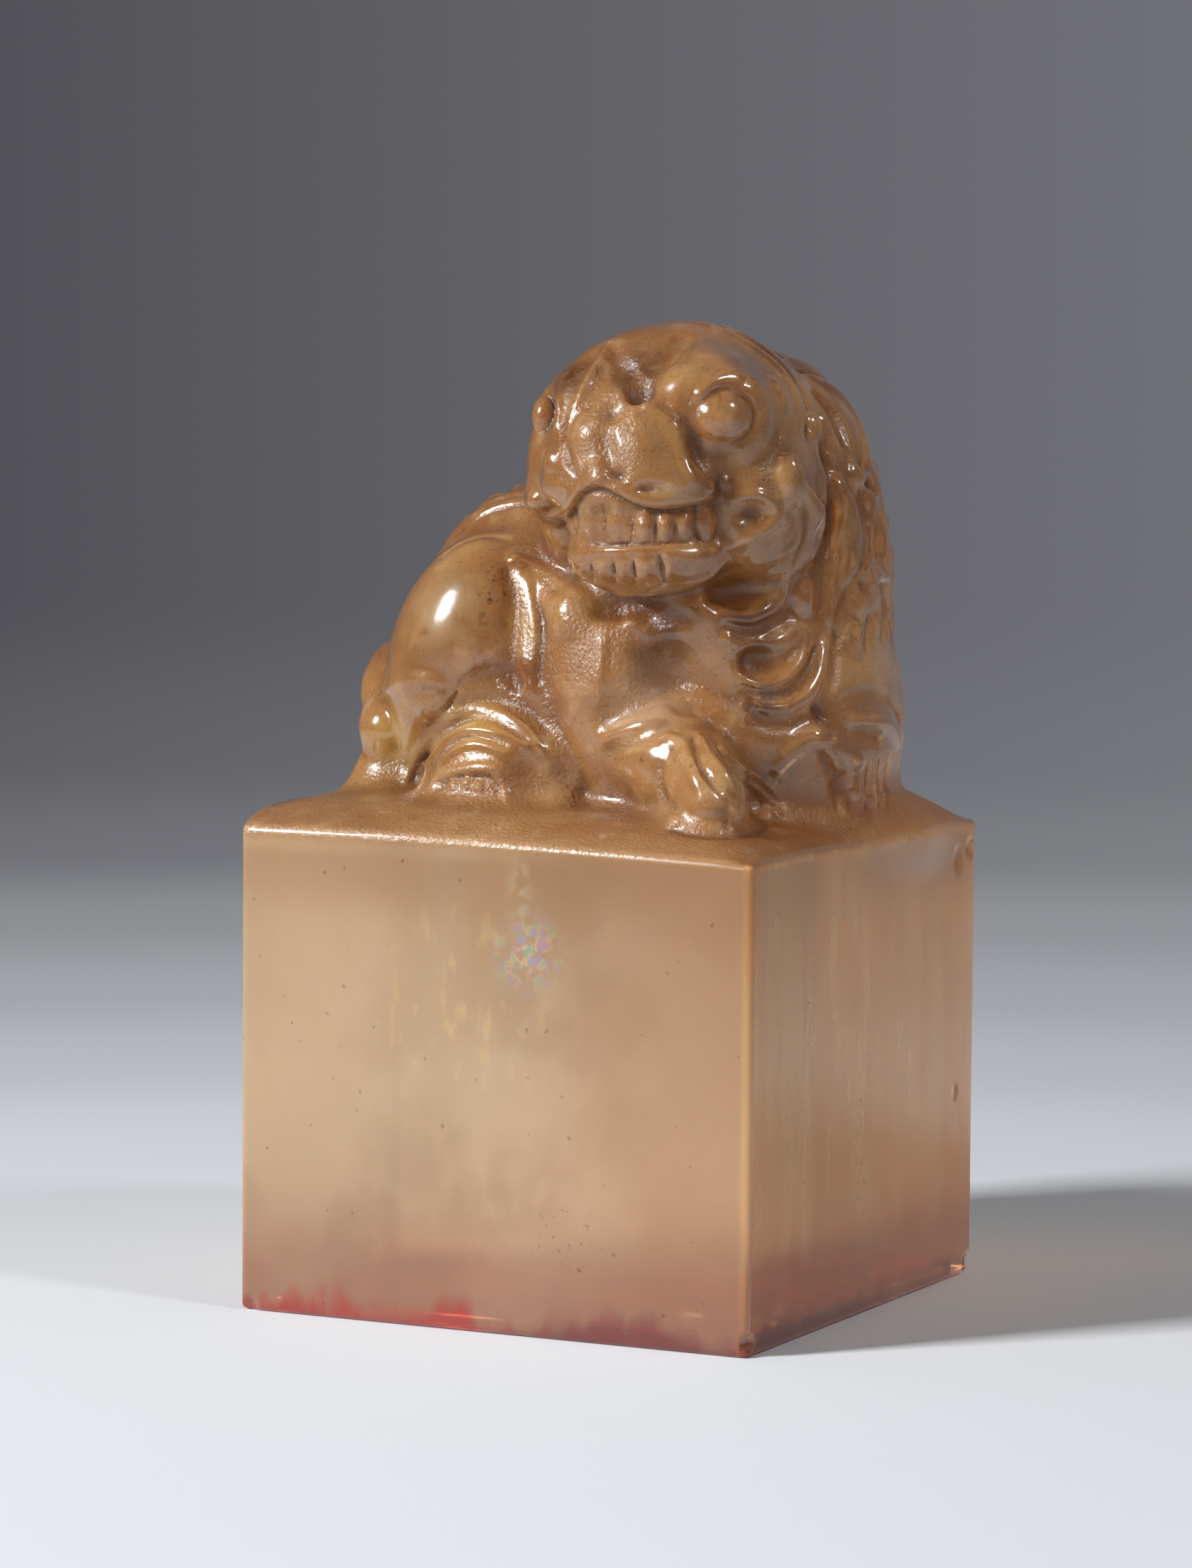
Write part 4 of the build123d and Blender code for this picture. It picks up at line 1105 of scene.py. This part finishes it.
def painted_paste_seen_through(f, colour):
    """Painted reflection of the printing face's red paste, seen through the stone along the foot: pink above,
    ragged red below, brightest at the left.
    """
    colour = f.over(colour, (190, 118, 88), f.level(f.z, 8, 0.5, 0, 0.5))
    ragged = f.add(f.z, f.times(f.noise(2.4, 0.25, 0.75, detail=5, stretch=(1, 1, 2), seed=2), 1.8))
    patch = f.noise(8, 0.36, 0.56, stretch=(1, 1, 4), seed=5)
    red = f.mix(f.level(f.x, -2, 4), srgb(214, 62, 32), srgb(166, 56, 36))
    return f.mix(f.times(f.level(ragged, 2.6, 1.0), f.level(patch, 0, 1, 0.45, 1.0)), colour, red)


def flaws(f, colour):
    """A rainbow flaw, a pale veil over it, specks, a golden inclusion, the lion's grain, dark brown patches,
    and patches of painted light.
    """
    rainbow = f.node("ValToRGB", {0: f.noise(0.9, 0.3, 0.7, detail=2, seed=21)})
    stops = rainbow.color_ramp.elements
    for place, shade in RAINBOW:
        stops.new(place).color = srgb(*shade)
    stops[0].color, stops[-1].color = (srgb(*shade) for shade in RAINBOW_ENDS)
    flaw = f.times(f.near(*FLAW), f.noise(0.6, 0.42, 0.55, detail=2, seed=17))
    colour = f.mix(flaw, colour, rainbow.outputs[0])
    veil = f.times(f.near(*VEIL), f.noise(0.7, 0.4, 0.6, seed=19))
    colour = f.over(colour, (236, 218, 180), veil, 0.5)
    specks = f.times(f.noise(0.35, 0.64, 0.7, detail=1, seed=8), f.near(*SPECKS))
    colour = f.over(colour, (72, 44, 52), specks, 0.8)
    colour = f.over(colour, (90, 56, 34), f.noise(0.5, 0.72, 0.78, detail=1, seed=15), 0.5)
    gold = f.times(f.noise(0.5, 0.6, 0.68, detail=1, seed=13), f.near(*INCLUSION))
    colour = f.over(colour, (236, 178, 84), gold)
    grain = f.times(f.noise(0.18, 0.5, 0.75, detail=2, seed=41), f.level(f.z, 25.0, 26.0))
    colour = f.over(colour, (116, 66, 32), grain, 0.36)
    # Dark brown patches, and pale and golden patches of painted glow and highlight
    for place, radius, shade, share in DARK_PATCHES_AND_PAINTED_LIGHT:
        cloud = f.times(f.near(place, radius), f.noise(radius / 2.5, 0.22, 0.52, detail=4, seed=radius))
        colour = f.over(colour, shade, cloud, share)
    for place, radius in SOOT:
        soot = f.times(f.noise(0.4, 0.58, 0.66, detail=3, seed=47), f.near(place, radius, (0.6, 1, 1.1)))
        colour = f.over(colour, (60, 34, 18), soot, 0.85)
    return colour


def stone_polish(f, crease, hollow, fine):
    """1 on the block's sides and the lion's broad swellings, 0 in hollows and on the block's top."""
    upper = f.level(f.z, 25.2, 25.9)
    worn = f.times(upper, f.level(hollow, -0.2, 0.06, 0.0, 0.4))
    worn = f.add(worn, f.times(f.level(crease, -0.05, -0.3), 0.4))
    worn = f.add(worn, f.times(fine, upper))
    for place, radius, share in FROSTED:
        worn = f.add(worn, f.times(f.near(place, radius), share))
    worn = f.add(worn, f.times(upper, f.level(f.z, 28.0, 26.6, 0.0, 0.4)))
    for place, radius in BRIGHT:
        worn = f.less(worn, f.near(place, radius))
    return f.level(worn, 0.68, 0.08)


def stone_finish():
    """Polished honey-coloured translucent stone, clouded, frosted in hollows, painted shade in hollows,
    painted light on swellings, darker creases.
    """
    f = Finish("honey_stone", IOR=1.54, Coat_Roughness=0.04, Coat_IOR=1.5, Transmission_Weight=0.68,
               Subsurface_Weight=0.3, Subsurface_Scale=1.6 * MM, Subsurface_Radius=(1.0, 0.6, 0.34))
    crease, hollow = f.read("crease"), f.read("hollow")
    # Masks for painted light on the swellings and painted shade in the hollows
    painted_swelling_light = f.level(hollow, 0.15, -0.25)
    painted_hollow_shade = f.level(hollow, -0.04, 0.3)
    fine = f.level(crease, 0.03, 0.32)
    colour = f.mix(f.level(f.z, 25.0, 26.6), block_colour(f), lion_colour(f))
    # A painted golden glow of light through the clearer stone round the hind foot and the tail knob, and a
    # dark cloud on the haunch
    colour = f.over(colour, (206, 154, 82), f.near(*PAINTED_GOLD_GLOW), 0.7)
    haunch = f.times(f.near(*HAUNCH_CLOUD), f.noise(1.5, 0.3, 0.6, seed=3))
    colour = f.over(colour, (116, 78, 46), haunch, 0.45)
    # Painted shade: the hollows darker brown
    colour = f.over(colour, (118, 62, 26), painted_hollow_shade, 0.8)
    # Darker in the fine creases
    colour = f.over(colour, (60, 28, 12), fine, 0.9)
    # Painted light: the swellings paler
    colour = f.over(colour, (240, 190, 130), painted_swelling_light, 0.3)
    # The red along the foot is a painted reflection of the printing face's paste seen through the stone
    f.to("Base Color", flaws(f, painted_paste_seen_through(f, colour)))

    polish = stone_polish(f, crease, hollow, fine)
    f.to("Coat Weight", f.level(polish, 0, 1, 0.14, 1.0))
    f.to("Roughness", f.level(polish, 0, 1, 0.45, 0.18))
    f.bump(f.times(f.noise(0.22, 0.3, 0.7, detail=2), f.level(polish, 1, 0, 0.03, 1.0)), 0.03)
    return f.material


def paste_finish():
    """Dried vermilion seal paste: deep matt red, caked and darker where it is thick."""
    f = Finish("vermilion", Roughness=0.75)
    colour = f.mix(f.noise(1.6), srgb(170, 38, 26), srgb(204, 62, 40))
    f.to("Base Color", f.over(colour, (132, 28, 22), f.noise(0.4, 0.5, 0.8, seed=3)))
    f.bump(f.noise(0.3, detail=4), 0.06)
    return f.material


stone = stone_piece()
paste = piece_from("paste", paste_film(PASTE_STEP), PASTE_TRIANGLES)
stone.data.materials.append(stone_finish())
paste.data.materials.append(paste_finish())
names = sorted(frame["nodes"])
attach(stone, "root")
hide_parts(*[name for name in names if name != "vermilion_paste"])
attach(paste, "root")
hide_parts("vermilion_paste")


# The floor in metres, with a painted pool of light: pale near the seal and darkening with distance into the
# backdrop's grey
FLOOR_RADIUS, FLOOR_SIDES = 3.0, 96
# The backdrop's greys at its left and right: the left one darker by painted shade
DARK_SIDE, LIGHT_SIDE = (82, 81, 87), (112, 113, 118)
EDGE_OF_SIGHT = 0.11
PALE = (0.72, 0.745, 0.78, 1.0)
PALE_CENTRE = (0.018, -0.036, 0.0)
# Distance from the pale centre in metres, and how much of the backdrop's grey is seen there
SHADES = ((0.05, 0.0), (0.10, 0.14), (0.137, 0.32), (0.176, 0.48), (0.225, 0.63), (0.288, 0.82), (0.40, 0.91),
          (0.80, 1.0))

# Light from all round, and lamps: name, azimuth and elevation in degrees, distance and size in m, and watts
AMBIENT, AMBIENT_COLOUR = 0.16, (0.93, 0.96, 1.0, 1.0)
LAMP_AIM = (0, 0, 0.027)
LAMPS = (
    ("key", -38, 27, 0.75, (0.13, 0.18), 8.4),
    ("right", 78, 46, 0.8, (0.10, 0.12), 1.3),
)


def shown_light(tree):
    """Light that the camera, reflections and clear materials see, and that lights nothing."""
    path = add_node(tree, "ShaderNodeLightPath").outputs
    seen = path["Is Camera Ray"]
    for name in ("Is Glossy Ray", "Is Transmission Ray"):
        seen = add_node(tree, "ShaderNodeMath", {0: seen, 1: path[name]}, operation="MAXIMUM").outputs[0]
    return seen


def backdrop(tree, direction):
    """The backdrop's grey, with painted shade that makes it darker at the left than at the right of where the
    seal is seen from.
    """
    across = add_node(tree, "ShaderNodeVectorMath", {0: direction, 1: RIGHT}, operation="DOT_PRODUCT")
    inputs = {"Value": across.outputs["Value"], "From Min": -EDGE_OF_SIGHT, "From Max": EDGE_OF_SIGHT}
    share = add_node(tree, "ShaderNodeMapRange", inputs)
    greys = {0: share.outputs[0], MIX_A: srgb(*DARK_SIDE), MIX_B: srgb(*LIGHT_SIDE)}
    return add_node(tree, "ShaderNodeMix", greys, data_type="RGBA").outputs[MIX_RESULT]


def floor():
    turn = np.linspace(0, 2 * np.pi, FLOOR_SIDES, endpoint=False)
    rim = np.stack([np.cos(turn), np.sin(turn), 0 * turn], axis=1) * FLOOR_RADIUS
    mesh = bpy.data.meshes.new("floor")
    mesh.from_pydata(rim.tolist(), [], [list(range(FLOOR_SIDES))])
    thing = new_object("floor", mesh)
    f = Finish("floor_paper", Roughness=0.9, Specular_IOR_Level=0.2, Base_Color=PALE)
    # Painted pool of light: pale round the seal, the backdrop's grey further away
    away = f.vector("DISTANCE", {0: f.place, 1: tuple(c / MM for c in PALE_CENTRE)}, "Value")
    ramp = f.node("ValToRGB", {0: f.times(away, MM)})
    ramp.color_ramp.interpolation = "EASE"
    stops = ramp.color_ramp.elements
    while len(stops) < len(SHADES):
        stops.new(0.5)
    for stop, (radius, grey) in zip(stops, SHADES):
        stop.position = radius
        stop.color = (grey, grey, grey, 1)
    direction = f.vector("NORMALIZE", {0: f.vector("SUBTRACT", {0: f.place, 1: EYE})})
    glow = f.node("Emission", {"Color": backdrop(f.tree, direction), "Strength": shown_light(f.tree)})
    both = f.node("MixShader", {0: ramp.outputs[0], 1: f.shader.outputs[0], 2: glow.outputs[0]})
    f.tree.links.new(both.outputs[0], f.tree.nodes["Material Output"].inputs["Surface"])
    mesh.materials.append(f.material)


def world():
    scene_world = bpy.data.worlds.new("studio")
    scene_world.use_nodes = True
    tree = scene_world.node_tree
    lit = tree.nodes["Background"]
    lit.inputs["Color"].default_value = AMBIENT_COLOUR
    lit.inputs["Strength"].default_value = AMBIENT
    direction = add_node(tree, "ShaderNodeTexCoord").outputs["Generated"]
    seen = add_node(tree, "ShaderNodeBackground", {"Color": backdrop(tree, direction)})
    mix = add_node(tree, "ShaderNodeMixShader", {0: shown_light(tree), 1: lit.outputs[0], 2: seen.outputs[0]})
    tree.links.new(mix.outputs[0], tree.nodes["World Output"].inputs["Surface"])
    bpy.context.scene.world = scene_world


def lamp(name, azimuth, elevation, distance, size, watts):
    data = bpy.data.lights.new(name, "AREA")
    data.shape, data.size, data.size_y = "RECTANGLE", size[0], size[1]
    data.energy = watts
    thing = new_object(name, data)
    back = Vector(axes_of(azimuth, elevation)[2])
    thing.location = Vector(LAMP_AIM) + back * distance
    thing.rotation_euler = back.to_track_quat("Z", "Y").to_euler()


def camera():
    data = bpy.data.cameras.new("camera")
    data.sensor_width = 36.0
    data.lens = LENS * data.sensor_width / FRAME_HEIGHT
    data.clip_start = 0.01
    thing = new_object("camera", data)
    turned = Matrix((RIGHT, UP, BACK)).transposed().to_4x4()
    turned.translation = Vector(EYE * MM)
    thing.matrix_world = turned
    bpy.context.scene.camera = thing


floor()
world()
for values in LAMPS:
    lamp(*values)
camera()
bpy.context.scene.view_settings.view_transform = "Standard"
bpy.context.view_layer.update()
